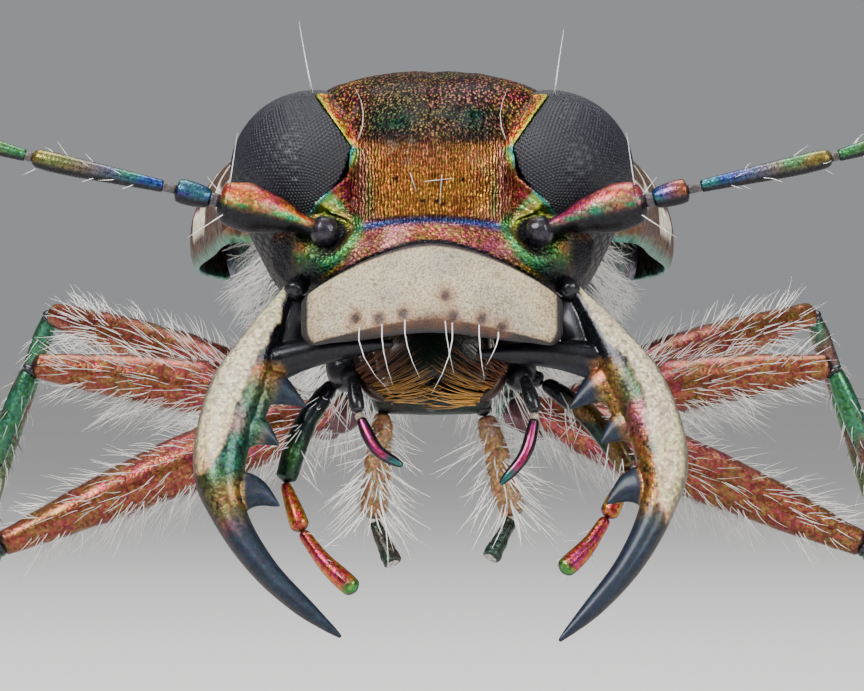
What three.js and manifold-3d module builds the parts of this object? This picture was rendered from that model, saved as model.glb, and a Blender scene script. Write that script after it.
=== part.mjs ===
// A tiger beetle at life size, about 15 mm from lip to wing-case tip, standing tall on its six feet.
// The animal faces -Y, its own left side is +X and +Z is up. Lengths are in millimetres.
// The head is drawn in face coordinates: across, up and out from the point midway between the eyes.
// The trunk is drawn in trunk coordinates: across, back from the neck and up from the trunk's axis.

import * as THREE from "three";
import { mergeVertices } from "three/addons/utils/BufferGeometryUtils.js";
import Module from "manifold-3d";

const wasm = await Module();
wasm.setup();

// Driving dimensions
const EYE_HEIGHT = 6.8; // of the eyes' centres above the floor
const NECK = { back: 1.2, height: 6.6 }; // where the head meets the trunk
const TRUNK_PITCH = THREE.MathUtils.degToRad(3); // the front of the body is held higher
const GAP = 0.08; // between nodes that touch
const MERGE = 1e-4; // vertices closer than this are one

// Colours
const finish = (color, roughness, metalness) =>
  new THREE.MeshStandardMaterial({ color, roughness, metalness });
const MATERIALS = {
  copper: finish(0x8f5a33, 0.38, 0.75),
  bronze: finish(0x5a4630, 0.45, 0.6),
  green: finish(0x2f6b4a, 0.35, 0.75),
  black: finish(0x17171c, 0.25, 0.2),
  ivory: finish(0xd9cba8, 0.45, 0),
  eye: finish(0x24242b, 0.2, 0),
  tan: finish(0x8a6238, 0.5, 0),
};

// Small tools
const clamp = (value, low, high) => Math.min(high, Math.max(low, value));
const signedPower = (value, power) =>
  Math.sign(value) * Math.abs(value) ** power;

// The value at t of a smooth line through [position, value] stops, which never overshoots them.
function along(stops, t) {
  if (typeof stops === "number") return stops;
  const last = stops.length - 1;
  const at = clamp(t, stops[0][0], stops[last][0]);
  let i = 0;
  while (i < last - 1 && at > stops[i + 1][0]) i++;
  const rise = (k) =>
    (stops[k + 1][1] - stops[k][1]) / (stops[k + 1][0] - stops[k][0]);
  const slope = (k) => {
    if (k === 0) return rise(0);
    if (k === last) return rise(last - 1);
    const before = rise(k - 1);
    const after = rise(k);
    return before * after <= 0 ? 0 : (2 * before * after) / (before + after);
  };
  const width = stops[i + 1][0] - stops[i][0];
  const u = (at - stops[i][0]) / width;
  return (
    stops[i][1] * (1 + 2 * u) * (1 - u) ** 2 +
    stops[i + 1][1] * u * u * (3 - 2 * u) +
    width * (slope(i) * u * (1 - u) ** 2 - slope(i + 1) * u * u * (1 - u))
  );
}

// A three.js geometry as a closed solid, and back.
function solidOf(geometry) {
  const bare = geometry.clone();
  bare.deleteAttribute("normal");
  bare.deleteAttribute("uv");
  const merged = mergeVertices(bare, MERGE);
  return new wasm.Manifold(
    new wasm.Mesh({
      numProp: 3,
      vertProperties: merged.attributes.position.array,
      triVerts: new Uint32Array(merged.index.array),
    }),
  );
}

function geometryOf(solid) {
  const mesh = solid.getMesh();
  const positions = new Float32Array(mesh.numVert * 3);
  for (let i = 0; i < mesh.numVert; i++)
    positions.set(
      mesh.vertProperties.subarray(i * mesh.numProp, i * mesh.numProp + 3),
      i * 3,
    );
  return new THREE.BufferGeometry()
    .setAttribute("position", new THREE.BufferAttribute(positions, 3))
    .setIndex(new THREE.BufferAttribute(mesh.triVerts, 1));
}

// Only the largest closed surface of a cut or joined solid is kept.
function largest(solid) {
  return solid
    .decompose()
    .reduce((best, piece) => (piece.volume() > best.volume() ? piece : best));
}

const joined = (...solids) =>
  largest(solids.reduce((whole, piece) => whole.add(piece)));
const cut = (solid, ...tools) =>
  largest(tools.reduce((rest, tool) => rest.subtract(tool), solid));

// Every vertex of a geometry moved by a function.
function mapped(geometry, place) {
  const positions = geometry.getAttribute("position");
  const point = new THREE.Vector3();
  for (let i = 0; i < positions.count; i++) {
    point.fromBufferAttribute(positions, i);
    positions.setXYZ(i, ...place(point.clone()).toArray());
  }
  return geometry;
}

// A closed limb of oval section along a smooth line. Its rings stand closer near both ends, so that
// the ends can be round. flat is its thickness along up as a share of its width.
function limb(points, radii, options = {}) {
  const { sides = 8, steps = 8, flat = 1, up = [0, 0, 1], grow = 0 } = options;
  const line = new THREE.CatmullRomCurve3(points, false, "centripetal");
  const length = line.getLength();
  const upward = new THREE.Vector3(...up);
  return solidOf(
    mapped(new THREE.CylinderGeometry(1, 1, 1, sides, steps), (p) => {
      const t = 0.5 - 0.5 * Math.cos(Math.PI * clamp(p.y + 0.5, 0, 1));
      const tangent = line.getTangentAt(t);
      const across = new THREE.Vector3()
        .crossVectors(tangent, upward)
        .normalize();
      const over = new THREE.Vector3().crossVectors(across, tangent);
      const radius = along(radii, t) + grow;
      return line
        .getPointAt(t)
        .addScaledVector(tangent, (2 * t - 1) * grow * (length > 0 ? 1 : 0))
        .addScaledVector(across, p.x * radius)
        .addScaledVector(over, p.z * radius * along(flat, t));
    }),
  );
}

// A swelling with the shape of an egg when power is 2 and squarer above it: below 0 inside, above 0 outside.
function swelling(p, centre, radii, power = 2) {
  const reach =
    Math.abs((p.x - centre[0]) / radii[0]) ** power +
    Math.abs((p.y - centre[1]) / radii[1]) ** power +
    Math.abs((p.z - centre[2]) / radii[2]) ** power;
  return (reach ** (1 / power) - 1) * Math.min(...radii);
}

// The lower of two values, with the crease between them rounded over a width.
function blended(a, b, width) {
  const share = clamp(0.5 + (0.5 * (b - a)) / width, 0, 1);
  return b + (a - b) * share - width * share * (1 - share);
}

// A closed body round a centre, out to where the field reaches the level along each direction.
function grown(centre, field, level, columns, rows, reach = 4) {
  return solidOf(
    mapped(new THREE.SphereGeometry(1, columns, rows), (direction) => {
      let inside = 0;
      let outside = reach;
      for (let i = 0; i < 30; i++) {
        const middle = (inside + outside) / 2;
        const p = direction.clone().multiplyScalar(middle).add(centre);
        if (field(p) < level) inside = middle;
        else outside = middle;
      }
      return direction.multiplyScalar(inside).add(centre);
    }),
  );
}

// Face and trunk coordinates in the row frame
const face = (across, up, out) =>
  new THREE.Vector3(across, -out, EYE_HEIGHT + up);
const toFace = (p) => new THREE.Vector3(p.x, p.z - EYE_HEIGHT, -p.y);
const trunk = (across, back, up) =>
  new THREE.Vector3(
    across,
    NECK.back + back * Math.cos(TRUNK_PITCH) + up * Math.sin(TRUNK_PITCH),
    NECK.height - back * Math.sin(TRUNK_PITCH) + up * Math.cos(TRUNK_PITCH),
  );

// A block behind, below or beside a plane, to cut with
function block(centre, size, pitch = 0) {
  return solidOf(
    new THREE.BoxGeometry(...size)
      .rotateX(pitch)
      .translate(centre.x, centre.y, centre.z),
  );
}
const FLOOR = block(new THREE.Vector3(0, 5, -2), [60, 60, 4]);

// The model: each node is a mesh whose origin is where it grows from.
const model = new THREE.Group();
model.name = "tiger_beetle";
const branches = {};

function node(branch, name, material, solid, root) {
  if (!branches[branch]) {
    branches[branch] = new THREE.Group();
    model.add(branches[branch]);
  }
  const geometry = geometryOf(solid).translate(-root.x, -root.y, -root.z);
  const mesh = new THREE.Mesh(geometry, MATERIALS[material]);
  mesh.name = name;
  mesh.position.copy(root);
  branches[branch].add(mesh);
}

const SIDES = [
  { name: "left", s: 1 },
  { name: "right", s: -1 },
];

// Head: a cranium, a flat brow between the eyes, a cheek on each side and the clypeus across the face
const BLEND = 0.22;
function headField(point) {
  const p = toFace(point);
  p.x = Math.abs(p.x);
  const parts = [
    swelling(p, [0, 0.02, -0.35], [1.3, 0.95, 1.05]),
    swelling(p, [0, 0.5, -0.25], [1.3, 0.5, 0.9], 2.5),
    swelling(p, [0, -0.22, 0.22], [0.95, 0.85, 0.95], 2.6),
    swelling(p, [0, -0.92, 0.45], [1.5, 0.42, 0.88], 2.5),
    swelling(p, [1.15, -0.78, 0.3], [0.5, 0.5, 0.66]),
    swelling(p, [0, -0.9, -0.1], [1.15, 0.65, 0.95]),
    swelling(p, [0, -0.1, -1.2], [1.08, 0.86, 0.7]),
  ];
  return parts.reduce((whole, part) => blended(whole, part, BLEND));
}
const HEAD_CENTRE = face(0, -0.25, -0.1);
const HEAD_GROWN = grown(HEAD_CENTRE, headField, GAP, 30, 22);

// Behind the neck plane the head gives way to the trunk.
const BEHIND_NECK = block(trunk(0, 3 - GAP, 0), [8, 6, 8], -TRUNK_PITCH);

// Antennae: the bulb of the scape sits in a socket, then come the pedicel and nine flagellar segments
const BULB = { across: 1.11, up: -0.65, out: 1.02, radius: 0.2 };
const SCAPE_END = [2.2, -0.34, 1.12];
const PEDICEL_END = [2.72, -0.2, 1.12];
const FEELER = [
  PEDICEL_END,
  [4.3, 0.16, 1.02],
  [5.3, 0.5, 0.75],
  [6.35, 0.95, 0.2],
  [7.3, 1.35, -0.6],
  [7.95, 1.55, -1.6],
  [8.2, 1.6, -2.7],
  [8.1, 1.55, -3.6],
];

// The part of the flagellum between two segments, each segment widest at its far end
function flagellum(side, first, last) {
  const line = new THREE.CatmullRomCurve3(
    FEELER.map(([across, up, out]) => face(side * across, up, out)),
    false,
    "centripetal",
  );
  const joints = [0, 0.17, 0.28, 0.39, 0.5, 0.6, 0.7, 0.8, 0.9, 1];
  const from = joints[first - 3];
  const to = joints[last - 2];
  const clear = GAP / line.getLength() / 2;
  const start = first === 3 ? from + 2 * clear : from + clear;
  const end = last === 11 ? to : to - clear;
  const count = last - first + 1;
  const points = [];
  for (let i = 0; i <= 2 * count; i++)
    points.push(line.getPointAt(start + ((end - start) * i) / (2 * count)));
  const thick = (t) => 0.24 - 0.1 * t;
  const radii = [];
  for (let k = 0; k < count; k++) {
    const here = thick(joints[first - 3 + k]);
    radii.push([k / count, here * 0.72]);
    radii.push([(k + 0.78) / count, here]);
  }
  radii.push([1, thick(to) * (last === 11 ? 0.4 : 0.8)]);
  return limb(points, radii, { sides: 7, steps: 3 * count });
}

const sockets = [];
for (const { name, s } of SIDES) {
  const bulb = face(s * BULB.across, BULB.up, BULB.out);
  const scapeEnd = face(s * SCAPE_END[0], SCAPE_END[1], SCAPE_END[2]);
  const pedicelEnd = face(s * PEDICEL_END[0], PEDICEL_END[1], PEDICEL_END[2]);
  const ball = new THREE.SphereGeometry(BULB.radius, 10, 8);
  const scapeLine = [bulb, bulb.clone().lerp(scapeEnd, 0.5), scapeEnd];
  const scapeRadii = [
    [0, 0.12],
    [0.2, 0.15],
    [0.75, 0.26],
    [0.95, 0.22],
    [1, 0.14],
  ];
  const scape = joined(
    solidOf(ball.translate(bulb.x, bulb.y, bulb.z)),
    limb(scapeLine, scapeRadii, { sides: 10, steps: 10 }),
  );
  sockets.push(
    solidOf(
      new THREE.SphereGeometry(BULB.radius + GAP, 10, 8).translate(
        bulb.x,
        bulb.y,
        bulb.z,
      ),
    ),
    limb(scapeLine, scapeRadii, { sides: 10, steps: 10, grow: GAP }),
  );
  const pedicel = limb(
    [scapeEnd, pedicelEnd],
    [
      [0, 0.13],
      [0.35, 0.2],
      [0.8, 0.24],
      [1, 0.16],
    ],
  );
  const scapeGrown = limb(scapeLine, scapeRadii, {
    sides: 10,
    steps: 10,
    grow: GAP,
  });
  const branch = `antenna_${name}`;
  node(branch, `${branch}_scape`, "copper", scape, bulb);
  node(
    branch,
    `${branch}_pedicel`,
    "green",
    cut(pedicel, scapeGrown),
    scapeEnd,
  );
  [
    [3, 6],
    [7, 11],
  ].forEach(([first, last], i) =>
    node(
      branch,
      `${branch}_flagellum_${i + 1}`,
      i ? "bronze" : "green",
      flagellum(s, first, last),
      pedicelEnd,
    ),
  );
}

// Labrum: the ivory upper lip, a plate with an arched top edge, bulging outwards
const LIP = { halfWidth: 1.33, top: -0.72, shoulder: -1.27, thickness: 0.3 };
function lip(grow) {
  const plate = new THREE.BoxGeometry(2, 1, 2, 12, 1, 4);
  return solidOf(
    mapped(plate, (p) => {
      const u = p.x;
      const t = (1 - p.z) / 2; // 0 at the top edge, 1 at the bottom edge
      const roundness = 1 - 0.08 * clamp(t * 4 - 3, 0, 1) ** 2;
      const across = u * (LIP.halfWidth * roundness + grow);
      const topEdge =
        LIP.shoulder + (LIP.top - LIP.shoulder) * (1 - Math.abs(u) ** 1.7);
      const bottomEdge = -1.74 + 0.07 * Math.cos(Math.PI * u);
      const up =
        topEdge + grow + (bottomEdge - topEdge - 2 * grow) * t;
      const front = 1.42 - 0.42 * u * u + 0.5 * (LIP.top - up);
      const depth = p.y < 0 ? grow : -LIP.thickness - grow;
      return face(across, up, front + depth);
    }),
  );
}

// Mandibles: a sickle with three teeth and a blade that reaches under the lip.
// The mean of both sides is drawn on the animal's left, and each opens by its own angle.
const HINGE = { across: 1.47, up: -1.3 };
const MANDIBLE_OPENING = { left: 3, right: -3 }; // degrees
const leaning = (up) => 0.72 + 0.45 * (HINGE.up - up);
const SICKLE = [
  [1.49, -1.3],
  [1.8, -1.8],
  [2.11, -2.42],
  [2.26, -2.96],
  [2.25, -3.3],
  [2.12, -3.66],
  [1.84, -4.1],
  [1.5, -4.46],
  [1.1, -4.81],
];
const SICKLE_HALF_WIDTH = [
  [0, 0.14],
  [0.13, 0.2],
  [0.3, 0.31],
  [0.45, 0.29],
  [0.52, 0.26],
  [0.6, 0.19],
  [0.75, 0.145],
  [0.88, 0.11],
  [1, 0.03],
];
const SICKLE_FLATNESS = [
  [0, 1.4],
  [0.3, 0.85],
  [0.6, 1],
  [1, 1],
];
const TEETH = [
  { root: [1.95, -2.26], tip: [1.35, -2.5], halfWidth: 0.17 },
  { root: [2.12, -2.72], tip: [1.68, -2.86], halfWidth: 0.2 },
  { root: [2.15, -3.38], tip: [1.66, -3.46], halfWidth: 0.17 },
];
const BLADE = { root: [1.7, -1.95], bend: [1.15, -1.97], tip: [0.5, -1.92] };

function mandible(side, opening, grow) {
  const angle = THREE.MathUtils.degToRad(opening);
  const open = ([across, up], out = leaning(up)) => {
    const x = across - HINGE.across;
    const y = up - HINGE.up;
    return face(
      side *
        (HINGE.across + x * Math.cos(angle) - y * Math.sin(angle)),
      HINGE.up + x * Math.sin(angle) + y * Math.cos(angle),
      out,
    );
  };
  const outward = [0, -1, 0.4];
  const sickle = limb(
    SICKLE.map((p) => open(p)),
    SICKLE_HALF_WIDTH,
    { sides: 9, steps: 18, flat: SICKLE_FLATNESS, up: outward, grow },
  );
  const teeth = TEETH.map(({ root, tip, halfWidth }) =>
    limb(
      [
        open(root),
        open([(root[0] + tip[0]) / 2, (root[1] + tip[1]) / 2 + 0.03]),
        open(tip),
      ],
      [
        [0, halfWidth],
        [0.5, halfWidth * 0.6],
        [1, 0.02],
      ],
      { sides: 7, steps: 4, flat: 0.8, up: outward, grow },
    ),
  );
  const blade = limb(
    [
      open(BLADE.root, 0.95),
      open(BLADE.bend, 1.0),
      open(BLADE.tip, 1.05),
    ],
    [
      [0, 0.2],
      [0.5, 0.15],
      [0.9, 0.09],
      [1, 0.04],
    ],
    { sides: 7, steps: 6, flat: 1.3, up: outward, grow },
  );
  return joined(sickle, ...teeth, blade);
}

const lipSolid = lip(0);
const lipGrown = lip(GAP);
const mandiblesGrown = [];
for (const { name, s } of SIDES) {
  const solid = cut(
    mandible(s, MANDIBLE_OPENING[name], 0),
    lipGrown,
    HEAD_GROWN,
  );
  mandiblesGrown.push(mandible(s, MANDIBLE_OPENING[name], GAP));
  node(
    "mouth",
    `mandible_${name}`,
    "ivory",
    solid,
    face(s * HINGE.across, HINGE.up, leaning(HINGE.up)),
  );
}

// Labium: a plate under the mouth with a bar across it, which carries the labial palps
const labium = joined(
  limb(
    [face(0, -1.2, -0.1), face(0, -1.9, 0.3), face(0, -2.35, 0.42)],
    [
      [0, 0.5],
      [0.6, 0.62],
      [1, 0.5],
    ],
    { sides: 10, steps: 6, flat: 0.42, up: [0, -1, 0.5] },
  ),
  limb(
    [face(-0.62, -2.4, 0.44), face(0, -2.36, 0.44), face(0.62, -2.4, 0.44)],
    [
      [0, 0.14],
      [0.5, 0.2],
      [1, 0.14],
    ],
    { sides: 8, steps: 6 },
  ),
);
node(
  "mouth",
  "labium",
  "black",
  cut(labium, HEAD_GROWN),
  face(0, -1.2, -0.1),
);
const labiumGrown = limb(
  [face(-0.62, -2.4, 0.44), face(0, -2.36, 0.44), face(0.62, -2.4, 0.44)],
  [
    [0, 0.14],
    [0.5, 0.2],
    [1, 0.14],
  ],
  { sides: 8, steps: 6, grow: GAP },
);

// Palps: each is a chain of segments, which meet end to end. The two sides are held differently.
const PALPS = {
  left: {
    labial: [
      [0.55, -2.55, 0.46],
      [0.84, -3.6, 0.62],
      [0.6, -4.02, 0.85],
    ],
    maxillary: [
      [1.15, -2.2, 0.5],
      [1.62, -2.55, 0.62],
      [2.05, -3.1, 0.72],
      [1.8, -3.6, 0.9],
      [1.33, -4.15, 1.15],
    ],
    galea: [
      [0.95, -2.15, 0.82],
      [1.07, -2.52, 0.98],
      [0.95, -2.95, 1.15],
      [0.7, -3.25, 1.22],
    ],
  },
  right: {
    labial: [
      [0.51, -2.52, 0.46],
      [0.61, -3.62, 0.62],
      [0.4, -4.08, 0.85],
    ],
    maxillary: [
      [1.02, -2.2, 0.5],
      [1.33, -2.68, 0.62],
      [1.52, -3.24, 0.72],
      [1.34, -3.74, 0.9],
      [0.78, -4.35, 1.15],
    ],
    galea: [
      [0.82, -2.15, 0.82],
      [0.76, -2.52, 0.98],
      [0.56, -2.9, 1.15],
      [0.3, -3.06, 1.22],
    ],
  },
};

// One palp segment, narrow where it starts and full near its end
function segment(line, radius, grow, options = {}) {
  return limb(
    line,
    [
      [0, radius * 0.55],
      [0.2, radius * 0.8],
      [0.8, radius],
      [1, radius * 0.6],
    ],
    { sides: 7, steps: 5, grow, ...options },
  );
}

for (const { name, s } of SIDES) {
  const palp = PALPS[name];
  const at = (p) => face(s * p[0], p[1], p[2]);
  const labial = palp.labial.map(at);
  const maxillary = palp.maxillary.map(at);
  const galea = palp.galea.map(at);
  const labialBase = [labial[0], labial[1]];
  node(
    "mouth",
    `labial_palp_${name}_1`,
    "tan",
    cut(segment(labialBase, 0.2, 0), labiumGrown),
    labial[0],
  );
  node(
    "mouth",
    `labial_palp_${name}_2`,
    "green",
    cut(
      segment([labial[1], labial[2]], 0.17, 0),
      segment(labialBase, 0.2, GAP),
    ),
    labial[1],
  );
  // The maxilla's stem leaves the head beside the labium and carries the galea and the long palp.
  const stem = [face(s * 0.78, -1.2, 0.1), face(s * 0.9, -2.12, 0.56)];
  const stemSolid = joined(
    limb(stem, 0.26, { sides: 8, steps: 5 }),
    limb([stem[1], galea[0]], 0.18, { sides: 7, steps: 4 }),
    limb([galea[0], galea[1]], 0.16, { sides: 7, steps: 4 }),
  );
  const stemGrown = joined(
    limb(stem, 0.26, { sides: 8, steps: 5, grow: GAP }),
    limb([stem[1], galea[0]], 0.18, { sides: 7, steps: 4, grow: GAP }),
    limb([galea[0], galea[1]], 0.16, { sides: 7, steps: 4, grow: GAP }),
  );
  node(
    "mouth",
    `maxilla_${name}`,
    "black",
    cut(stemSolid, HEAD_GROWN, lipGrown, ...mandiblesGrown),
    stem[0],
  );
  node(
    "mouth",
    `galea_${name}`,
    "copper",
    cut(
      limb(
        galea.slice(1),
        [
          [0, 0.12],
          [0.3, 0.16],
          [0.8, 0.14],
          [1, 0.05],
        ],
        { sides: 8, steps: 8 },
      ),
      stemGrown,
    ),
    galea[1],
  );
  const longLine = maxillary.slice(0, 3);
  const third = [maxillary[2], maxillary[3]];
  node(
    "mouth",
    `maxillary_palp_${name}_1`,
    "bronze",
    cut(
      segment(longLine, 0.19, 0, { steps: 8 }),
      stemGrown,
      ...mandiblesGrown,
    ),
    maxillary[0],
  );
  node(
    "mouth",
    `maxillary_palp_${name}_2`,
    "copper",
    cut(
      segment(third, 0.18, 0),
      segment(longLine, 0.19, GAP, { steps: 8 }),
      ...mandiblesGrown,
    ),
    maxillary[2],
  );
  node(
    "mouth",
    `maxillary_palp_${name}_3`,
    "copper",
    cut(
      segment([maxillary[3], maxillary[4]], 0.18, 0),
      segment(third, 0.18, GAP),
      ...mandiblesGrown,
    ),
    maxillary[3],
  );
}

node(
  "head",
  "labrum",
  "ivory",
  cut(lipSolid, HEAD_GROWN),
  face(0, LIP.top, 1.4),
);
node(
  "head",
  "head",
  "copper",
  cut(
    grown(HEAD_CENTRE, headField, 0, 32, 23),
    BEHIND_NECK,
    ...sockets,
  ),
  HEAD_CENTRE,
);

// Eyes: large and bulging, each with a lower lobe that runs down behind the antenna
function eyeField(side) {
  return (point) => {
    const p = toFace(point);
    p.x *= side;
    return blended(
      swelling(p, [1.22, -0.04, -0.12], [0.88, 0.87, 1.08]),
      swelling(p, [1.18, -0.62, -0.25], [0.62, 0.82, 0.88]),
      0.3,
    );
  };
}
for (const { name, s } of SIDES) {
  const centre = face(s * 1.25, -0.2, -0.15);
  node(
    "head",
    `eye_${name}`,
    "eye",
    cut(
      grown(centre, eyeField(s), 0, 22, 16),
      HEAD_GROWN,
      ...sockets,
      ...mandiblesGrown,
    ),
    centre,
  );
}

// Trunk: rings whose half-width, height above and depth below the axis follow stops along the back.
function ringed(from, to, size, options) {
  const { sides, steps, power = 2.3, grow = 0 } = options;
  return solidOf(
    mapped(new THREE.CylinderGeometry(1, 1, 1, sides, steps), (p) => {
      const t = 0.5 - 0.5 * Math.cos(Math.PI * clamp(p.y + 0.5, 0, 1));
      const back = from + (to - from) * t + (2 * t - 1) * grow;
      const across = signedPower(p.x, 2 / power);
      const over = signedPower(-p.z, 2 / power);
      const tall = over > 0 ? along(size.top, back) : along(size.bottom, back);
      return trunk(
        -across * (along(size.halfWidth, back) + grow),
        back,
        over * (tall + grow),
      );
    }),
  );
}

// Prothorax: a rounded barrel, narrower at both ends, with a groove near each end
const PROTHORAX = {
  halfWidth: [
    [0, 1.22],
    [0.3, 1.36],
    [0.5, 1.4],
    [1.3, 1.58],
    [2.2, 1.46],
    [2.4, 1.36],
    [2.75, 1.3],
  ],
  top: [
    [0, 0.86],
    [0.25, 0.98],
    [0.5, 0.94],
    [1.3, 1.16],
    [2.2, 1.04],
    [2.4, 0.94],
    [2.75, 0.92],
  ],
  bottom: [
    [0, 0.8],
    [1.3, 1.2],
    [2.75, 0.95],
  ],
};
const PROTHORAX_LENGTH = 2.75;
const prothorax = ringed(0, PROTHORAX_LENGTH, PROTHORAX, {
  sides: 20,
  steps: 12,
});
const prothoraxGrown = ringed(0, PROTHORAX_LENGTH, PROTHORAX, {
  sides: 20,
  steps: 12,
  grow: GAP,
});

// Hind body: the wing cases' outer form, and the body that they cover
const SHOULDER = 3.05;
const TAIL = 12.3;
const HIND = {
  halfWidth: [
    [2.9, 1.15],
    [3.2, 1.9],
    [3.7, 2.34],
    [5.5, 2.52],
    [8.8, 2.82],
    [10.8, 2.4],
    [11.8, 1.45],
    [12.3, 0.3],
  ],
  top: [
    [2.9, 0.75],
    [3.3, 0.98],
    [4.5, 1.28],
    [7, 1.42],
    [9.5, 1.25],
    [11.4, 0.72],
    [12.3, 0.12],
  ],
  bottom: [
    [2.9, 0.9],
    [3.8, 1.45],
    [5.8, 1.65],
    [8.5, 1.35],
    [11, 0.75],
    [12.3, 0.15],
  ],
};
const shrunk = (stops, by) => stops.map(([at, value]) => [at, Math.max(0.1, value - by)]);
const CASE_THICKNESS = 0.34;
const CORE = {
  halfWidth: shrunk(HIND.halfWidth, CASE_THICKNESS + GAP),
  top: shrunk(HIND.top, CASE_THICKNESS + GAP),
  bottom: HIND.bottom,
};
const CASE_EDGE = -0.35; // how far the wing cases reach down the sides, from the trunk's axis
const shell = ringed(SHOULDER, TAIL, HIND, { sides: 30, steps: 16 });
const hollow = ringed(2.0, TAIL - 0.25, {
  halfWidth: shrunk(HIND.halfWidth, CASE_THICKNESS),
  top: shrunk(HIND.top, CASE_THICKNESS),
  bottom: shrunk(HIND.bottom, -0.2),
}, { sides: 30, steps: 16 });
const UNDER_CASES = block(trunk(0, 8, CASE_EDGE - 3), [12, 16, 6], -TRUNK_PITCH);

// Scutellum: a small triangular plate between the bases of the wing cases
const SCUTELLUM = { back: 2.98, length: 0.95, halfWidth: 0.55 };
function scutellum(grow) {
  const plate = new THREE.CylinderGeometry(1, 1, 1, 3, 1);
  return solidOf(
    mapped(plate, (p) =>
      trunk(
        -p.x * (SCUTELLUM.halfWidth + grow) * 1.15,
        SCUTELLUM.back + (p.z + 0.5) * (SCUTELLUM.length + grow) * 0.67,
        0.8 + 0.28 * (p.z + 0.5) + p.y * (0.3 + 2 * grow),
      ),
    ),
  );
}
for (const { name, s } of SIDES) {
  const otherSide = block(
    trunk(-s * (5 - GAP / 2), 8, 0),
    [10, 24, 12],
    -TRUNK_PITCH,
  );
  node(
    "trunk",
    `elytron_${name}`,
    "bronze",
    cut(shell, hollow, UNDER_CASES, otherSide, scutellum(GAP), prothoraxGrown),
    trunk(s * 1.5, SHOULDER, 0.8),
  );
}

// The body under the wing cases is parted into the pterothorax, with four of the legs, and the abdomen.
const WAIST = 6.3;
const core = ringed(PROTHORAX_LENGTH + GAP, TAIL - 0.2, CORE, {
  sides: 20,
  steps: 14,
});
const coreGrown = ringed(PROTHORAX_LENGTH + GAP, TAIL - 0.2, CORE, {
  sides: 20,
  steps: 14,
  grow: GAP,
});
const AHEAD = block(trunk(0, WAIST - 10 + GAP / 2, 0), [12, 20, 12], -TRUNK_PITCH);
const ASTERN = block(trunk(0, WAIST + 10 - GAP / 2, 0), [12, 20, 12], -TRUNK_PITCH);
node(
  "trunk",
  "prothorax",
  "copper",
  prothorax,
  trunk(0, 0, 0),
);
node(
  "trunk",
  "pterothorax",
  "green",
  cut(core, ASTERN, scutellum(GAP)),
  trunk(0, PROTHORAX_LENGTH, 0),
);
node("trunk", "abdomen", "green", cut(core, AHEAD), trunk(0, WAIST, 0));
node(
  "trunk",
  "scutellum",
  "copper",
  cut(scutellum(0), prothoraxGrown),
  trunk(0, SCUTELLUM.back, 0.9),
);

// Legs: three pairs. hip is where the coxa leaves the trunk, knee, ankle and toe are across, back and
// height above the floor, and the lengths follow from them.
const LEGS = [
  {
    name: "front",
    hip: [0.62, 2.65, 5.45],
    heel: [0.8, 2.72, 4.4],
    knee: [4.6, 1.9, 2.85],
    ankle: [6.2, 0.6, 0.5],
    toe: [7.5, -1.3, 0.17],
    femur: 0.37,
  },
  {
    name: "middle",
    hip: [0.75, 5.15, 5.1],
    heel: [1.0, 5.25, 4.2],
    knee: [4.4, 5.0, 4.75],
    ankle: [6.0, 5.5, 0.5],
    toe: [7.9, 7.0, 0.17],
    femur: 0.36,
  },
  {
    name: "hind",
    hip: [0.85, 7.15, 4.95],
    heel: [1.3, 7.55, 4.15],
    knee: [4.4, 10.0, 5.35],
    ankle: [6.0, 12.4, 0.5],
    toe: [7.2, 15.2, 0.17],
    femur: 0.38,
  },
];
const SHIN_RADIUS = 0.25;
const FOOT_RADIUS = 0.23;
const TARSOMERES = 5;

// A foot: five tarsomeres laid on the floor, each widest at its far end, and two claws
function foot(ankle, toe, grow = 0) {
  const direction = toe.clone().sub(ankle).setZ(0).normalize();
  const sideways = new THREE.Vector3(-direction.y, direction.x, 0);
  const landed = ankle.clone().lerp(toe, 0.28).setZ(toe.z + 0.02);
  const radii = [];
  for (let k = 0; k < TARSOMERES; k++) {
    const full = FOOT_RADIUS * (1 - 0.05 * k);
    radii.push([k / TARSOMERES, full * 0.74]);
    radii.push([(k + 0.75) / TARSOMERES, full]);
  }
  radii.push([1, FOOT_RADIUS * 0.45]);
  const sole = limb(
    [ankle, landed, landed.clone().lerp(toe, 0.5), toe],
    radii,
    { sides: 6, steps: 14, grow },
  );
  const claws = [-1, 1].map((turn) =>
    limb(
      [
        toe.clone().addScaledVector(direction, -0.1),
        toe
          .clone()
          .addScaledVector(direction, 0.25)
          .addScaledVector(sideways, turn * 0.16)
          .setZ(toe.z + 0.06),
        toe
          .clone()
          .addScaledVector(direction, 0.5)
          .addScaledVector(sideways, turn * 0.24)
          .setZ(0.05),
      ],
      [
        [0, 0.09],
        [0.6, 0.07],
        [1, 0.02],
      ],
      { sides: 5, steps: 3 },
    ),
  );
  return joined(sole, ...claws);
}

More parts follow.
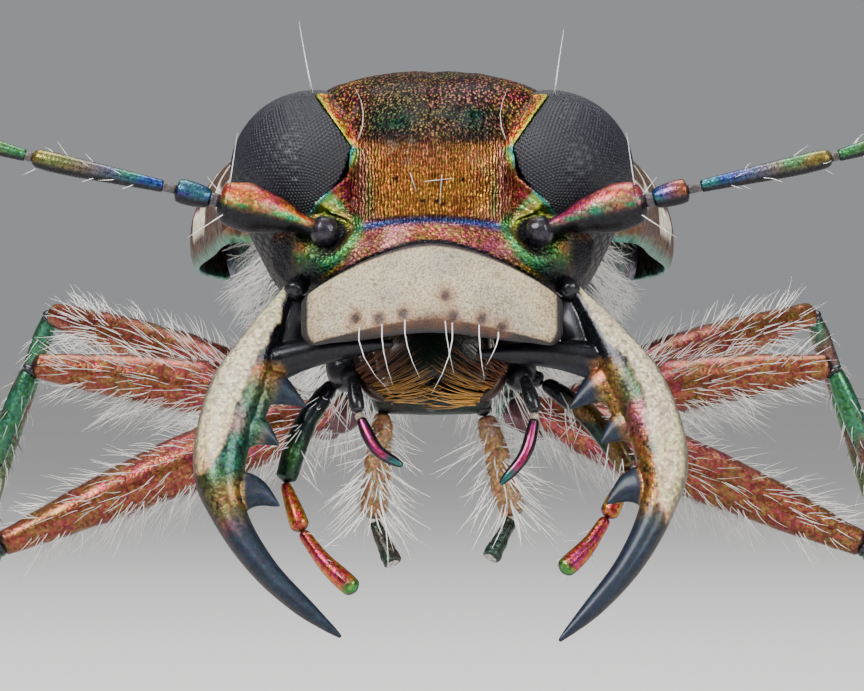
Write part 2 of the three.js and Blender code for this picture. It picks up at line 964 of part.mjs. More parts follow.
for (const leg of LEGS)
  for (const { name, s } of SIDES) {
    const spot = ([across, back, height]) =>
      new THREE.Vector3(s * across, back, height);
    const [hip, heel, knee, ankle, toe] = [
      leg.hip,
      leg.heel,
      leg.knee,
      leg.ankle,
      leg.toe,
    ].map(spot);
    const branch = `leg_${leg.name}_${name}`;
    const coxaLine = [hip, heel];
    const coxaRadii = [
      [0, 0.5],
      [0.5, 0.46],
      [0.85, 0.36],
      [1, 0.22],
    ];
    const coxaGrown = limb(coxaLine, coxaRadii, {
      steps: 6,
      grow: GAP,
      up: [0, 1, 0],
    });
    node(
      branch,
      `${branch}_coxa`,
      "copper",
      cut(
        limb(coxaLine, coxaRadii, { steps: 6, up: [0, 1, 0] }),
        prothoraxGrown,
        coreGrown,
      ),
      hip,
    );
    // The femur is stoutest in its first half, and the small trochanter swells its root.
    const thigh = leg.femur;
    const femurRadii = [
      [0, 0.2],
      [0.06, 0.27],
      [0.13, 0.24],
      [0.35, thigh],
      [0.7, thigh * 0.8],
      [0.93, 0.27],
      [1, 0.2],
    ];
    const femurLine = [heel, heel.clone().lerp(knee, 0.5).add(new THREE.Vector3(0, 0, 0.06)), knee];
    const femur = limb(femurLine, femurRadii, { steps: 9 });
    const femurGrown = limb(femurLine, femurRadii, { steps: 9, grow: GAP });
    node(branch, `${branch}_femur`, "copper", cut(femur, coxaGrown), heel);
    // The tibia is slender and widens at its end, where two spurs stand.
    const shinLine = [knee, ankle];
    const shinRadii = [
      [0, 0.2],
      [0.1, SHIN_RADIUS],
      [0.6, SHIN_RADIUS * 0.92],
      [0.96, SHIN_RADIUS * 1.08],
      [1, 0.2],
    ];
    const down = ankle.clone().sub(knee).normalize();
    const forward = toe.clone().sub(ankle).setZ(0).normalize();
    const spurs = [-1, 1].map((turn) =>
      limb(
        [
          ankle.clone().addScaledVector(down, -0.25),
          ankle
            .clone()
            .addScaledVector(down, 0.12)
            .add(
              new THREE.Vector3(-forward.y, forward.x, 0).multiplyScalar(
                turn * 0.26,
              ),
            )
            .addScaledVector(forward, -0.18),
        ],
        [
          [0, 0.12],
          [1, 0.02],
        ],
        { sides: 5, steps: 2 },
      ),
    );
    const shin = joined(
      limb(shinLine, shinRadii, { sides: 7, steps: 6, up: [0, 1, 0] }),
      ...spurs,
    );
    const shinGrown = joined(
      limb(shinLine, shinRadii, {
        sides: 7,
        steps: 6,
        up: [0, 1, 0],
        grow: GAP,
      }),
      ...spurs,
    );
    node(branch, `${branch}_tibia`, "copper", cut(shin, femurGrown), knee);
    node(
      branch,
      `${branch}_tarsus`,
      "green",
      cut(foot(ankle, toe), shinGrown, FLOOR),
      ankle,
    );
  }

// The origin is on the floor, under the middle of the whole animal.
const box = new THREE.Box3().setFromObject(model);
const middle = box.getCenter(new THREE.Vector3());
model.position.set(-middle.x, -middle.y, -box.min.z);

export default model;
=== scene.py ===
# The looks of a life-size tiger beetle: fine metallic cuticle, faceted eyes, ivory lip and white hairs.
# Shapes are made in millimetres in the model's own coordinates, as the solids are, and then set in the
# frame. The face has coordinates across, up and out from the point midway between the eyes, and the
# trunk has coordinates across, back from the neck and up from its axis.

import math

import bmesh
import bpy
import numpy as np
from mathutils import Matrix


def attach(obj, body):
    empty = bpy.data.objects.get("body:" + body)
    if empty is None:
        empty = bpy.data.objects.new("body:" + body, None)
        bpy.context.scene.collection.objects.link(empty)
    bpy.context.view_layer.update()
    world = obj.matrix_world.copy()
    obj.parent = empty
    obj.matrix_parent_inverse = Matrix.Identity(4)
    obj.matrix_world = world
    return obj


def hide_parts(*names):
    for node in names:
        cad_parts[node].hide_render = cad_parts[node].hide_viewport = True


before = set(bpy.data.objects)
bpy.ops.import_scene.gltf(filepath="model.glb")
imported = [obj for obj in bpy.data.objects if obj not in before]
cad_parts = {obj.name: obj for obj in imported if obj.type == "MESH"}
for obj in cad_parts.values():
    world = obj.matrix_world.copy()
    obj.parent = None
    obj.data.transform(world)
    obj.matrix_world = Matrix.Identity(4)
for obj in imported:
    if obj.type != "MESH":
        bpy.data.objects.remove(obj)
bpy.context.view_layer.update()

# Where the model stands in the frame
MM = 0.001
OFFSET = np.array([0.0, -6.719075, 0.0])
EYE_HEIGHT = 6.8
NECK_BACK = 1.2
NECK_HEIGHT = 6.6
TRUNK_PITCH = math.radians(3)
SIDES = (("left", 1), ("right", -1))
CAMERA_DISTANCE = 90.0
CAMERA_HEIGHT = 4.975
FRAME_WIDTH = 8.986  # what the camera sees across the plane between the eyes
SENSOR = 36
RANDOM = np.random.default_rng(20)

# Colours of the cuticle, as linear light
BLACK = (0.012, 0.012, 0.016)
COPPER = (0.46, 0.13, 0.035)
GOLD = (1.0, 0.41, 0.08)
GREEN = (0.04, 0.34, 0.08)
LIME = (0.52, 0.62, 0.04)
TEAL = (0.01, 0.20, 0.19)
BLUE = (0.015, 0.10, 0.42)
MAGENTA = (0.48, 0.035, 0.16)
PINK = (0.70, 0.27, 0.27)
VIOLET = (0.13, 0.035, 0.26)
IVORY = (0.56, 0.49, 0.31)


# Small tools on arrays

def smooth(low, high, x):
    t = np.clip((x - low) / (high - low), 0, 1)
    return t * t * (3 - 2 * t)


def bump(x, centre, width):
    return np.exp(-(((x - centre) / width) ** 2))


def unit(v):
    return v / np.maximum(np.linalg.norm(v, axis=-1, keepdims=True), 1e-12)


def mixed(colour, other, mask):
    return colour + (np.asarray(other) - colour) * mask[:, None]


def plain(colour, count):
    return np.tile(np.asarray(colour, float), (count, 1))


# The values at t of a smooth line through [position, value] stops, which never overshoots them
def along(stops, t):
    if np.isscalar(stops):
        return np.full(np.shape(t), float(stops))
    x, y = np.array(stops, float).T
    rise = np.diff(y) / np.diff(x)
    slope = np.concatenate([rise[:1], np.zeros(len(rise) - 1), rise[-1:]])
    before, after = rise[:-1], rise[1:]
    same = before * after > 0
    total = np.where(same, before + after, 1)
    slope[1:-1] = np.where(same, 2 * before * after / total, 0)
    t = np.clip(t, x[0], x[-1])
    i = np.clip(np.searchsorted(x, t, side="right") - 1, 0, len(x) - 2)
    width = x[i + 1] - x[i]
    u = (t - x[i]) / width
    return (
        y[i] * (1 + 2 * u) * (1 - u) ** 2
        + y[i + 1] * u * u * (3 - 2 * u)
        + width * (slope[i] * u * (1 - u) ** 2 - slope[i + 1] * u * u * (1 - u))
    )


# Smooth random values from -1 to 1 over space, the same on every run
def noise(p, scale, seed=0):
    q = p * scale + seed * 17.3
    cell = np.floor(q).astype(np.int64)
    u = q - cell
    u = u * u * (3 - 2 * u)
    total = np.zeros(len(p))
    for corner in range(8):
        step = np.array([corner & 1, corner >> 1 & 1, corner >> 2 & 1])
        k = cell + step
        mash = (k[:, 0] * 73856093) ^ (k[:, 1] * 19349663) ^ (k[:, 2] * 83492791)
        mash = (mash ^ (mash >> 13)) * 1274126177 & 0x7FFFFFFF
        weight = np.prod(np.where(step, u, 1 - u), axis=1)
        total += weight * (mash / 0x3FFFFFFF - 1)
    return total


# Places

def face(across, up, out):
    return np.stack(np.broadcast_arrays(across, -np.asarray(out), EYE_HEIGHT + np.asarray(up)), -1) * 1.0


def to_face(p):
    return np.stack([p[:, 0], p[:, 2] - EYE_HEIGHT, -p[:, 1]], -1)


def trunk(across, back, up):
    y = NECK_BACK + back * math.cos(TRUNK_PITCH) + up * math.sin(TRUNK_PITCH)
    z = NECK_HEIGHT - back * math.sin(TRUNK_PITCH) + up * math.cos(TRUNK_PITCH)
    return np.stack(np.broadcast_arrays(across, y, z), -1) * 1.0


LINE_STEPS = 40  # between one point and the next


# A smooth line through points, measured by its length
class Line:
    def __init__(self, points):
        p = np.array(points, float)
        q = np.vstack([2 * p[0] - p[1], p, 2 * p[-1] - p[-2]])
        u = np.linspace(0, 1, LINE_STEPS, endpoint=False)[:, None]
        runs = []
        for a, b, c, d in zip(q, q[1:], q[2:], q[3:]):
            before, here, after = (
                max(np.linalg.norm(n - m), 1e-9) ** 0.5 for m, n in ((a, b), (b, c), (c, d))
            )
            start = ((b - a) / before - (c - a) / (before + here) + (c - b) / here) * here
            end = ((c - b) / here - (d - b) / (here + after) + (d - c) / after) * here
            runs.append(
                b + start * u
                + (-3 * b + 3 * c - 2 * start - end) * u ** 2
                + (2 * b - 2 * c + start + end) * u ** 3
            )
        self.dense = np.vstack(runs + [p[-1:]])
        gaps = np.linalg.norm(np.diff(self.dense, axis=0), axis=1)
        self.reached = np.concatenate([[0], np.cumsum(gaps)])
        self.length = self.reached[-1]

    def at(self, t):
        s = np.clip(t, 0, 1) * self.length
        return np.stack([np.interp(s, self.reached, self.dense[:, k]) for k in range(3)], -1)

    def tangent(self, t):
        t = np.asarray(t, float)
        step = 0.012
        return unit(self.at(np.minimum(t + step, 1)) - self.at(np.maximum(t - step, 0)))

    def part(self, start, end, count=12):
        return Line(self.at(np.linspace(start, end, count)))


THIN = 0.05  # relief fades on parts thinner than this


# A closed tube of oval section along a line, with rounded ends. It returns its points and faces, and
# for each point its place along the line and its angle round it, where a quarter turn is up.
def tube(line, radii, sides=24, steps=60, flat=1, up=(0, 0, 1), relief=None, cap=0.6):
    t = 0.5 - 0.5 * np.cos(np.pi * np.linspace(0, 1, steps + 1)[1:-1])
    turn = np.linspace(0, 2 * np.pi, sides, endpoint=False)
    tangent = line.tangent(t)
    across = unit(np.cross(tangent, np.array(up, float)))
    over = np.cross(across, tangent)
    radius = along(radii, t)
    for end, distance in ((0, t), (1, 1 - t)):
        reach = max(along(radii, end) * cap, 1e-4) / line.length
        near = np.clip(distance / reach, 0, 1)
        radius = radius * np.sqrt(1 - (1 - near) ** 2)
    grid_t = np.repeat(t, sides)
    grid_a = np.tile(turn, len(t))
    ring = (
        np.cos(turn)[None, :, None] * across[:, None]
        + (np.sin(turn)[None, :] * along(flat, t)[:, None])[:, :, None] * over[:, None]
    )
    size = radius[:, None] * np.ones(sides)[None]
    points = line.at(t)[:, None] + ring * size[:, :, None]
    flat_points = points.reshape(-1, 3)
    if relief:
        rise = relief(grid_t, grid_a, flat_points) * np.minimum(1, size.reshape(-1) / THIN)
        flat_points = flat_points + unit(ring.reshape(-1, 3)) * rise[:, None]
    count = len(flat_points)
    k = np.arange(len(t) - 1)[:, None] * sides
    i = np.arange(sides)[None]
    j = (i + 1) % sides
    quads = np.stack([k + i, k + j, k + sides + j, k + sides + i], -1).reshape(-1, 4)
    last = (len(t) - 1) * sides
    start = np.stack([np.arange(sides), np.full(sides, count), (np.arange(sides) + 1) % sides], -1)
    finish = np.stack(
        [last + np.arange(sides), last + (np.arange(sides) + 1) % sides, np.full(sides, count + 1)], -1
    )
    flat_points = np.vstack([flat_points, line.at(np.array([0.0, 1.0]))])
    return (
        flat_points,
        [quads, start, finish],
        np.append(grid_t, [0, 1]),
        np.append(grid_a, [0, 0]),
    )


# A closed pillow over a grid, whose middle surface is a function of u and v, from -1 to 1. half is
# half its thickness. It returns u and v for each point, and whether the point is on the front.
def pillow(columns, rows, middle, half):
    u, v = np.meshgrid(np.linspace(-1, 1, columns), np.linspace(-1, 1, rows))
    u = np.sin(u * np.pi / 2) * 0.5 + u * 0.5
    v = np.sin(v * np.pi / 2) * 0.5 + v * 0.5
    centre = middle(u, v)
    du = np.gradient(centre, axis=1)
    dv = np.gradient(centre, axis=0)
    normal = unit(np.cross(du, dv))
    swell = (half * np.sqrt((1 - np.abs(u) ** 12) * (1 - np.abs(v) ** 12)))[..., None]
    front = (centre + normal * swell).reshape(-1, 3)
    back = (centre - normal * swell).reshape(-1, 3)
    count = columns * rows
    index = np.arange(count).reshape(rows, columns)
    a, b, c, d = index[:-1, :-1], index[:-1, 1:], index[1:, 1:], index[1:, :-1]
    quads = np.stack([a, b, c, d], -1).reshape(-1, 4)
    border = np.zeros((rows, columns), bool)
    border[[0, -1]] = True
    border[:, [0, -1]] = True
    under = np.where(border, index, index + count).reshape(-1)
    faces = [quads, under[quads][:, ::-1]]
    is_front = np.concatenate([np.ones(count), np.zeros(count)])
    used = np.ones(2 * count, bool)
    used[count:] = ~border.reshape(-1)
    renumber = np.cumsum(used) - 1
    return (
        np.vstack([front, back])[used],
        [renumber[f] for f in faces],
        np.tile(u.reshape(-1), 2)[used],
        np.tile(v.reshape(-1), 2)[used],
        is_front[used],
    )


# The faces of a closed surface, all turned outwards
def facing_out(points, faces):
    centred = points - points.mean(0)
    volume = 0.0
    for group in faces:
        for k in range(1, group.shape[1] - 1):
            a, b, c = centred[group[:, 0]], centred[group[:, k]], centred[group[:, k + 1]]
            volume += (a * np.cross(b, c)).sum()
    return faces if volume > 0 else [group[:, ::-1] for group in faces]


# Pieces of the model, joined from many closed surfaces

class Shape:
    def __init__(self):
        self.points, self.faces, self.tints, self.skins, self.uvs = [], [], [], [], []
        self.count = 0

    # skin holds metalness, roughness, grain and lines for each point.
    def add(self, points, faces, tint, skin, uv=None):
        number = len(points)
        self.points.append(points)
        self.faces += [f + self.count for f in facing_out(points, faces)]
        self.tints.append(np.broadcast_to(tint, (number, 3)))
        self.skins.append(np.broadcast_to(skin, (number, 4)))
        if uv is not None:
            self.uvs.append(uv)
        self.count += number

    def build(self, name, material, slot, nodes=()):
        points = (np.vstack(self.points) + OFFSET) * MM
        mesh = bpy.data.meshes.new(name)
        sizes = np.concatenate([np.full(len(f), f.shape[1]) for f in self.faces])
        loops = np.concatenate([f.reshape(-1) for f in self.faces])
        starts = np.concatenate([[0], np.cumsum(sizes)[:-1]])
        mesh.vertices.add(len(points))
        mesh.loops.add(len(loops))
        mesh.polygons.add(len(sizes))
        mesh.vertices.foreach_set("co", points.astype(np.float32).reshape(-1))
        mesh.loops.foreach_set("vertex_index", loops.astype(np.int32))
        mesh.polygons.foreach_set("loop_start", starts.astype(np.int32))
        mesh.polygons.foreach_set("use_smooth", np.ones(len(sizes), bool))
        tints = np.hstack([np.vstack(self.tints), np.ones((len(points), 1))])
        for label, rows in (("tint", tints), ("skin", np.vstack(self.skins))):
            layer = mesh.attributes.new(label, "FLOAT_COLOR", "POINT")
            layer.data.foreach_set("color", rows.astype(np.float32).reshape(-1))
        if self.uvs:
            layer = mesh.uv_layers.new(name="OFBake")
            layer.data.foreach_set("uv", np.vstack(self.uvs)[loops].astype(np.float32).reshape(-1))
        mesh.update()
        mesh.validate()
        mesh.materials.append(material)
        piece = bpy.data.objects.new(name, mesh)
        bpy.context.scene.collection.objects.link(piece)
        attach(piece, "root")
        if nodes:
            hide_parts(*nodes)


# Overlapping tubes made one skin, with softened creases. The voxel size is in millimetres.
def fused(parts, voxel, rounds):
    points = []
    faces = []
    count = 0
    for part in parts:
        points.append(part[0])
        for group in part[1]:
            faces += (group + count).tolist()
        count += len(part[0])
    mesh = bpy.data.meshes.new("fusing")
    mesh.from_pydata(np.vstack(points).tolist(), [], faces)
    thing = bpy.data.objects.new("fusing", mesh)
    bpy.context.scene.collection.objects.link(thing)
    remesh = thing.modifiers.new("remesh", "REMESH")
    remesh.mode = "VOXEL"
    remesh.voxel_size = voxel
    soften = thing.modifiers.new("soften", "SMOOTH")
    soften.factor = 0.5
    soften.iterations = rounds
    result = thing.evaluated_get(bpy.context.evaluated_depsgraph_get()).to_mesh()
    new_points = np.empty(len(result.vertices) * 3)
    result.vertices.foreach_get("co", new_points)
    loops = np.empty(len(result.loops), np.int64)
    result.loops.foreach_get("vertex_index", loops)
    sizes = np.empty(len(result.polygons), np.int64)
    result.polygons.foreach_get("loop_total", sizes)
    starts = np.concatenate([[0], np.cumsum(sizes)[:-1]])
    new_faces = [
        loops[starts[sizes == size][:, None] + np.arange(size)] for size in np.unique(sizes)
    ]
    bpy.data.objects.remove(thing)
    bpy.data.meshes.remove(mesh)
    return new_points.reshape(-1, 3), new_faces


SAMPLES = 240
BLOCK = 20000  # points measured at a time, to save memory


# For each point, its place along a line, how far it lies to one side and how far off it lies in all,
# both in the line's radii
def beside(points, line, radii, across_axis):
    t = np.linspace(0, 1, SAMPLES)
    samples = line.at(t)
    nearest = np.empty(len(points), int)
    for start in range(0, len(points), BLOCK):
        block = points[start:start + BLOCK]
        gap = ((block[:, None] - samples[None]) ** 2).sum(-1)
        nearest[start:start + BLOCK] = gap.argmin(1)
    place = t[nearest]
    offset = points - samples[nearest]
    tangent = line.tangent(place)
    side = unit(across_axis - tangent * (tangent @ across_axis)[:, None])
    radius = along(radii, place)
    return place, (offset * side).sum(1) / radius, np.linalg.norm(offset, axis=1) / radius


# Hairs: thin curved cones, three-sided, on roots with directions. Each is a small patch of the map
# at its root's place.
HAIR_RINGS = 5
HAIR_TAPER = 0.88
LOWEST = 0.01  # hairs stay above the floor
BAKE_PATCH = 0.003
MAP_TILES = 8  # tiles along each side of the map, one for each tuft or segment


def hairs(shape, roots, directions, lengths, radius, bend, uv, tint):
    number = len(roots)
    s = np.linspace(0, 1, HAIR_RINGS)[None, :, None]
    lengths = np.broadcast_to(lengths, (number,))[:, None, None]
    radius = np.broadcast_to(radius, (number,))[:, None]
    directions = unit(directions)[:, None]
    spine = roots[:, None] + directions * lengths * s + bend[:, None] * lengths * s ** 2
    helper = np.where(np.abs(directions[..., 2:]) > 0.8, [1.0, 0, 0], [0, 0, 1.0])
    right = unit(np.cross(directions, helper))
    over = np.cross(right, directions)
    turn = np.arange(3) * 2 * np.pi / 3
    ring = (
        np.cos(turn)[None, None, :, None] * right[:, :, None]
        + np.sin(turn)[None, None, :, None] * over[:, :, None]
    )
    width = radius[:, :, None] * (1 - HAIR_TAPER * np.linspace(0, 1, HAIR_RINGS)[None, :, None] ** 1.5)
    points = (spine[:, :, None] + ring * width[..., None]).reshape(-1, 3)
    points[:, 2] = np.maximum(points[:, 2], LOWEST)
    base = (np.arange(number) * HAIR_RINGS * 3)[:, None, None]
    k = (np.arange(HAIR_RINGS - 1) * 3)[None, :, None]
    i = np.arange(3)[None, None]
    j = (i + 1) % 3
    quads = np.stack([base + k + i, base + k + j, base + k + 3 + j, base + k + 3 + i], -1).reshape(-1, 4)
    root = np.arange(number)[:, None] * HAIR_RINGS * 3
    closing = np.concatenate([root + [2, 1, 0], root + (HAIR_RINGS - 1) * 3 + [0, 1, 2]])
    patch = np.stack(
        np.broadcast_arrays(np.linspace(0, 1, HAIR_RINGS)[:, None], np.arange(3)[None] / 3), -1
    ).reshape(1, -1, 2)
    place = (np.clip(uv, 0, 1 - BAKE_PATCH)[:, None] + patch * BAKE_PATCH).reshape(-1, 2)
    colour = np.repeat(np.broadcast_to(tint, (number, 3)), HAIR_RINGS * 3, axis=0)
    shape.add(points, [quads, closing], colour, (0, 0.4, 0, 0), place)


# Hairs over a tube: span and turns limit where the roots are, and lean tips them towards its end.
def tube_hairs(shape, line, radii, count, length, thick, tint, tile, span=(0.05, 0.95),
               turns=(0, 2 * np.pi), lean=0.5, curl=0.3, up=(0, 0, 1), droop=0.0):
    t = RANDOM.uniform(*span, count)
    a = RANDOM.uniform(*turns, count)
    tangent = line.tangent(t)
    across = unit(np.cross(tangent, np.array(up, float)))
    over = np.cross(across, tangent)
    ring = np.cos(a)[:, None] * across + np.sin(a)[:, None] * over
    roots = line.at(t) + ring * (along(radii, t) * 0.93)[:, None]
    sway = RANDOM.normal(0, 0.16, (count, 3))
    directions = unit(ring) + tangent * lean + sway + np.array([0, 0, -droop])
    bend = (tangent * curl * 0.7 + RANDOM.normal(0, 0.12, (count, 3))) - unit(ring) * curl * 0.4
    lengths = length * RANDOM.uniform(0.6, 1.1, count)
    column, row = tile
    uv = np.stack([column + a / (2 * np.pi) % 1, row + t], -1) / MAP_TILES
    shade = np.asarray(tint) * RANDOM.uniform(0.8, 1.1, (count, 1))
    hairs(shape, roots, directions, lengths, thick, bend, uv, shade)


# Materials

class Graph:
    def __init__(self, name):
        self.material = bpy.data.materials.new(name)
        self.material.use_nodes = True
        self.tree = self.material.node_tree
        self.tree.nodes.clear()
        output = self.add("ShaderNodeOutputMaterial")
        self.shader = self.add("ShaderNodeBsdfPrincipled")
        self.tree.links.new(self.shader.outputs[0], output.inputs[0])
        place = self.add("ShaderNodeTexCoord")
        scaled = self.add("ShaderNodeVectorMath", operation="SCALE")
        self.link(place.outputs["Object"], scaled.inputs[0])
        scaled.inputs["Scale"].default_value = 1 / MM
        self.place = scaled.outputs[0]

    def add(self, kind, **settings):
        node = self.tree.nodes.new(kind)
        for key, value in settings.items():
            setattr(node, key, value)
        return node

    def link(self, source, target):
        if isinstance(source, (int, float)):
            target.default_value = source
        elif isinstance(source, tuple):
            target.default_value = (*source, 1) if len(source) == 3 else source
        else:
            self.tree.links.new(source, target)

    def math(self, operation, a, b=0.0, c=0.0, clamp=False):
        node = self.add("ShaderNodeMath", operation=operation, use_clamp=clamp)
        for source, target in zip((a, b, c), node.inputs):
            self.link(source, target)
        return node.outputs[0]

    def mix(self, factor, a, b, blend="MIX"):
        node = self.add("ShaderNodeMix", data_type="RGBA", blend_type=blend)
        self.link(factor, node.inputs[0])
        self.link(a, node.inputs[6])
        self.link(b, node.inputs[7])
        return node.outputs[2]

    # A colour that is multiplied by another where the factor is 1
    def stained(self, factor, colour, other):
        return self.mix(factor, colour, self.mix(1.0, colour, other, "MULTIPLY"))

    def noise(self, scale, detail=2.0, rough=0.5):
        node = self.add("ShaderNodeTexNoise")
        self.link(self.place, node.inputs["Vector"])
        node.inputs["Scale"].default_value = scale
        node.inputs["Detail"].default_value = detail
        node.inputs["Roughness"].default_value = rough
        return node.outputs[0]

    def cells(self, scale):
        node = self.add("ShaderNodeTexVoronoi")
        self.link(self.place, node.inputs["Vector"])
        node.inputs["Scale"].default_value = scale
        return node

    def attribute(self, name):
        return self.add("ShaderNodeAttribute", attribute_name=name)

    def relief(self, height, depth, strength=1.0):
        node = self.add("ShaderNodeBump", invert=depth < 0)
        node.inputs["Strength"].default_value = strength
        node.inputs["Distance"].default_value = abs(depth) * MM
        self.link(height, node.inputs["Height"])
        self.link(node.outputs[0], self.shader.inputs["Normal"])

    def set(self, **values):
        for key, value in values.items():
            self.shader.inputs[key.replace("_", " ")].default_value = value


# Metallic cuticle: its cells, so many to a millimetre, are grains when depth is above 0 and pits when
# it is below, and their hollows get painted shade. jitter shifts the hue of each cell, pale lightens
# that painted shade and contrast widens it. lines adds striae where the skin asks for them, with
# painted shade in their grooves.
def cuticle(name, cell, depth, jitter, pale, coat, lines=0, contrast=1.3):
    g = Graph(name)
    tint = g.attribute("tint").outputs["Color"]
    split = g.add("ShaderNodeSeparateColor")
    skin = g.attribute("skin")
    g.link(skin.outputs["Color"], split.inputs[0])
    metal, rough, grain = split.outputs[0], split.outputs[1], split.outputs[2]
    warp = g.add("ShaderNodeVectorMath", operation="MULTIPLY_ADD")
    drift = g.add("ShaderNodeTexNoise")
    g.link(g.place, drift.inputs["Vector"])
    drift.inputs["Scale"].default_value = cell * 0.7
    g.link(drift.outputs["Color"], warp.inputs[0])
    warp.inputs[1].default_value = (0.6 / cell,) * 3
    g.link(g.place, warp.inputs[2])
    straight = g.place
    g.place = warp.outputs[0]
    cells = g.cells(cell)
    g.place = straight
    dome = g.math("SUBTRACT", 1.0, g.math("MULTIPLY", cells.outputs["Distance"], 1.25), clamp=True)
    fine = g.noise(cell * 2.6, 3, 0.6)
    broad = g.noise(cell * 0.12, 2)
    height = g.math("ADD", dome, g.math("MULTIPLY", fine, 0.35))
    if lines:
        wave = g.add("ShaderNodeTexWave", wave_type="BANDS", bands_direction="X")
        g.link(g.place, wave.inputs["Vector"])
        wave.inputs["Scale"].default_value = lines
        wave.inputs["Distortion"].default_value = 5.5
        wave.inputs["Detail"].default_value = 2
        wave.inputs["Detail Scale"].default_value = 1.3
        ridge = wave.outputs["Fac"]
        height = g.math("ADD", g.math("MULTIPLY", height, grain),
                        g.math("MULTIPLY", ridge, g.math("MULTIPLY", skin.outputs["Alpha"], 1.3)))
    else:
        height = g.math("MULTIPLY", height, grain)
    pick = g.add("ShaderNodeSeparateColor")
    g.link(cells.outputs["Color"], pick.inputs[0])
    hue = g.add("ShaderNodeHueSaturation")
    shift = g.math("MULTIPLY", g.math("SUBTRACT", pick.outputs[0], 0.5), jitter)
    sway = g.math("MULTIPLY", g.math("SUBTRACT", broad, 0.5), jitter * 1.2)
    calm = g.math("MULTIPLY_ADD", skin.outputs["Alpha"], -0.6, 1.0)
    g.link(g.math("MULTIPLY_ADD", g.math("ADD", shift, sway), calm, 0.5), hue.inputs["Hue"])
    g.link(g.math("MULTIPLY_ADD", pick.outputs[1], 0.8, 0.5), hue.inputs["Value"])
    g.link(tint, hue.inputs["Color"])
    # Painted shade darkens the hollows: between the grains when depth is above 0, in the pits when it is
    # below.
    hollowness = g.math("SUBTRACT", 1.0, dome) if depth > 0 else dome
    steep = g.math("MULTIPLY", g.math("SUBTRACT", hollowness, 0.25), contrast, clamp=True)
    groove_shade = g.math("MULTIPLY", steep, grain, clamp=True)
    colour = g.stained(g.math("MULTIPLY", groove_shade, 1 - pale), hue.outputs[0], (0.05, 0.05, 0.06))
    if lines:
        # Painted shade darkens the grooves of the striae.
        groove = g.math("SUBTRACT", 1.0, ridge)
        dark = g.math("MULTIPLY", groove, g.math("MULTIPLY", skin.outputs["Alpha"], 0.75))
        colour = g.stained(dark, colour, (0.24, 0.12, 0.07))
    g.link(colour, g.shader.inputs["Base Color"])
    g.link(metal, g.shader.inputs["Metallic"])
    roughness = g.math("MULTIPLY_ADD", g.math("SUBTRACT", fine, 0.5), 0.15, rough)
    g.link(roughness, g.shader.inputs["Roughness"])
    g.relief(height, depth)
    g.set(Coat_Weight=coat, Coat_Roughness=0.2, Specular_Tint=(0.6, 0.6, 0.62, 1))
    return g.material


def ivory_material():
    g = Graph("ivory")
    tint = g.attribute("tint").outputs["Color"]
    cells = g.cells(42)
    fine = g.noise(60, 3, 0.6)
    cloud = g.noise(3.5, 4, 0.6)
    height = g.math("ADD", g.math("MULTIPLY", cells.outputs["Distance"], -0.8), fine)
    stain = g.stained(g.math("MULTIPLY", cloud, 0.8), tint, (0.82, 0.66, 0.50))
    # The seams between the grains are darkened as painted shade, along with brown specks.
    seam_shade = g.math("MULTIPLY", g.math("SUBTRACT", cells.outputs["Distance"], 0.36), 1.7, clamp=True)
    specks_and_seam_shade = g.math("ADD", g.math("MULTIPLY", g.math("GREATER_THAN", fine, 0.57), 0.5), seam_shade, clamp=True)
    g.link(g.stained(specks_and_seam_shade, stain, (0.42, 0.32, 0.23)), g.shader.inputs["Base Color"])
    g.link(g.math("MULTIPLY_ADD", fine, 0.2, 0.28), g.shader.inputs["Roughness"])
    g.relief(height, 0.013, 0.8)
    g.set(Subsurface_Weight=0.04, Subsurface_Radius=(0.0001, 0.00008, 0.00005), Coat_Weight=0.1,
          Coat_Roughness=0.25)
    return g.material


def eye_material():
    g = Graph("eye_facets")
    tint = g.attribute("tint").outputs["Color"]
    cloud = g.noise(1.6, 3)
    g.link(g.stained(cloud, tint, (0.35, 0.38, 0.6)), g.shader.inputs["Base Color"])
    g.link(g.math("MULTIPLY_ADD", cloud, 0.1, 0.40), g.shader.inputs["Roughness"])
    g.set(Specular_IOR_Level=0.4, IOR=1.45)
    return g.material


def hair_material():
    g = Graph("setae")
    tint = g.attribute("tint").outputs["Color"]
    streak = g.noise(9, 2)
    colour = g.stained(g.math("MULTIPLY", streak, 0.4), tint, (0.7, 0.66, 0.6))
    g.link(colour, g.shader.inputs["Base Color"])
    g.link(g.math("MULTIPLY_ADD", streak, 0.2, 0.3), g.shader.inputs["Roughness"])
    g.set(Coat_Weight=0.15)
    return g.material


FACE = cuticle("face_cuticle", 30, 0.018, jitter=0.11, pale=0.0, lines=9.5, coat=0.06, contrast=2.4)
LIMB = cuticle("limb_cuticle", 30, 0.006, jitter=0.08, pale=0.35, coat=0.2)
BODY = cuticle("body_cuticle", 16, 0.020, jitter=0.12, pale=0.15, coat=0.1)
CASE = cuticle("case_cuticle", 9, -0.030, jitter=0.08, pale=0.35, coat=0.1)
IVORY_LIP = ivory_material()
EYE = eye_material()
HAIR = hair_material()

# Head, in face coordinates: the same swellings as the solid's

BLEND = 0.22


def swelling(p, centre, radii, power=2.0):
    reach = (np.abs((p - centre) / radii) ** power).sum(-1)
    return (reach ** (1 / power) - 1) * min(radii)


def blended(a, b, width):
    share = np.clip(0.5 + 0.5 * (b - a) / width, 0, 1)
    return b + (a - b) * share - width * share * (1 - share)


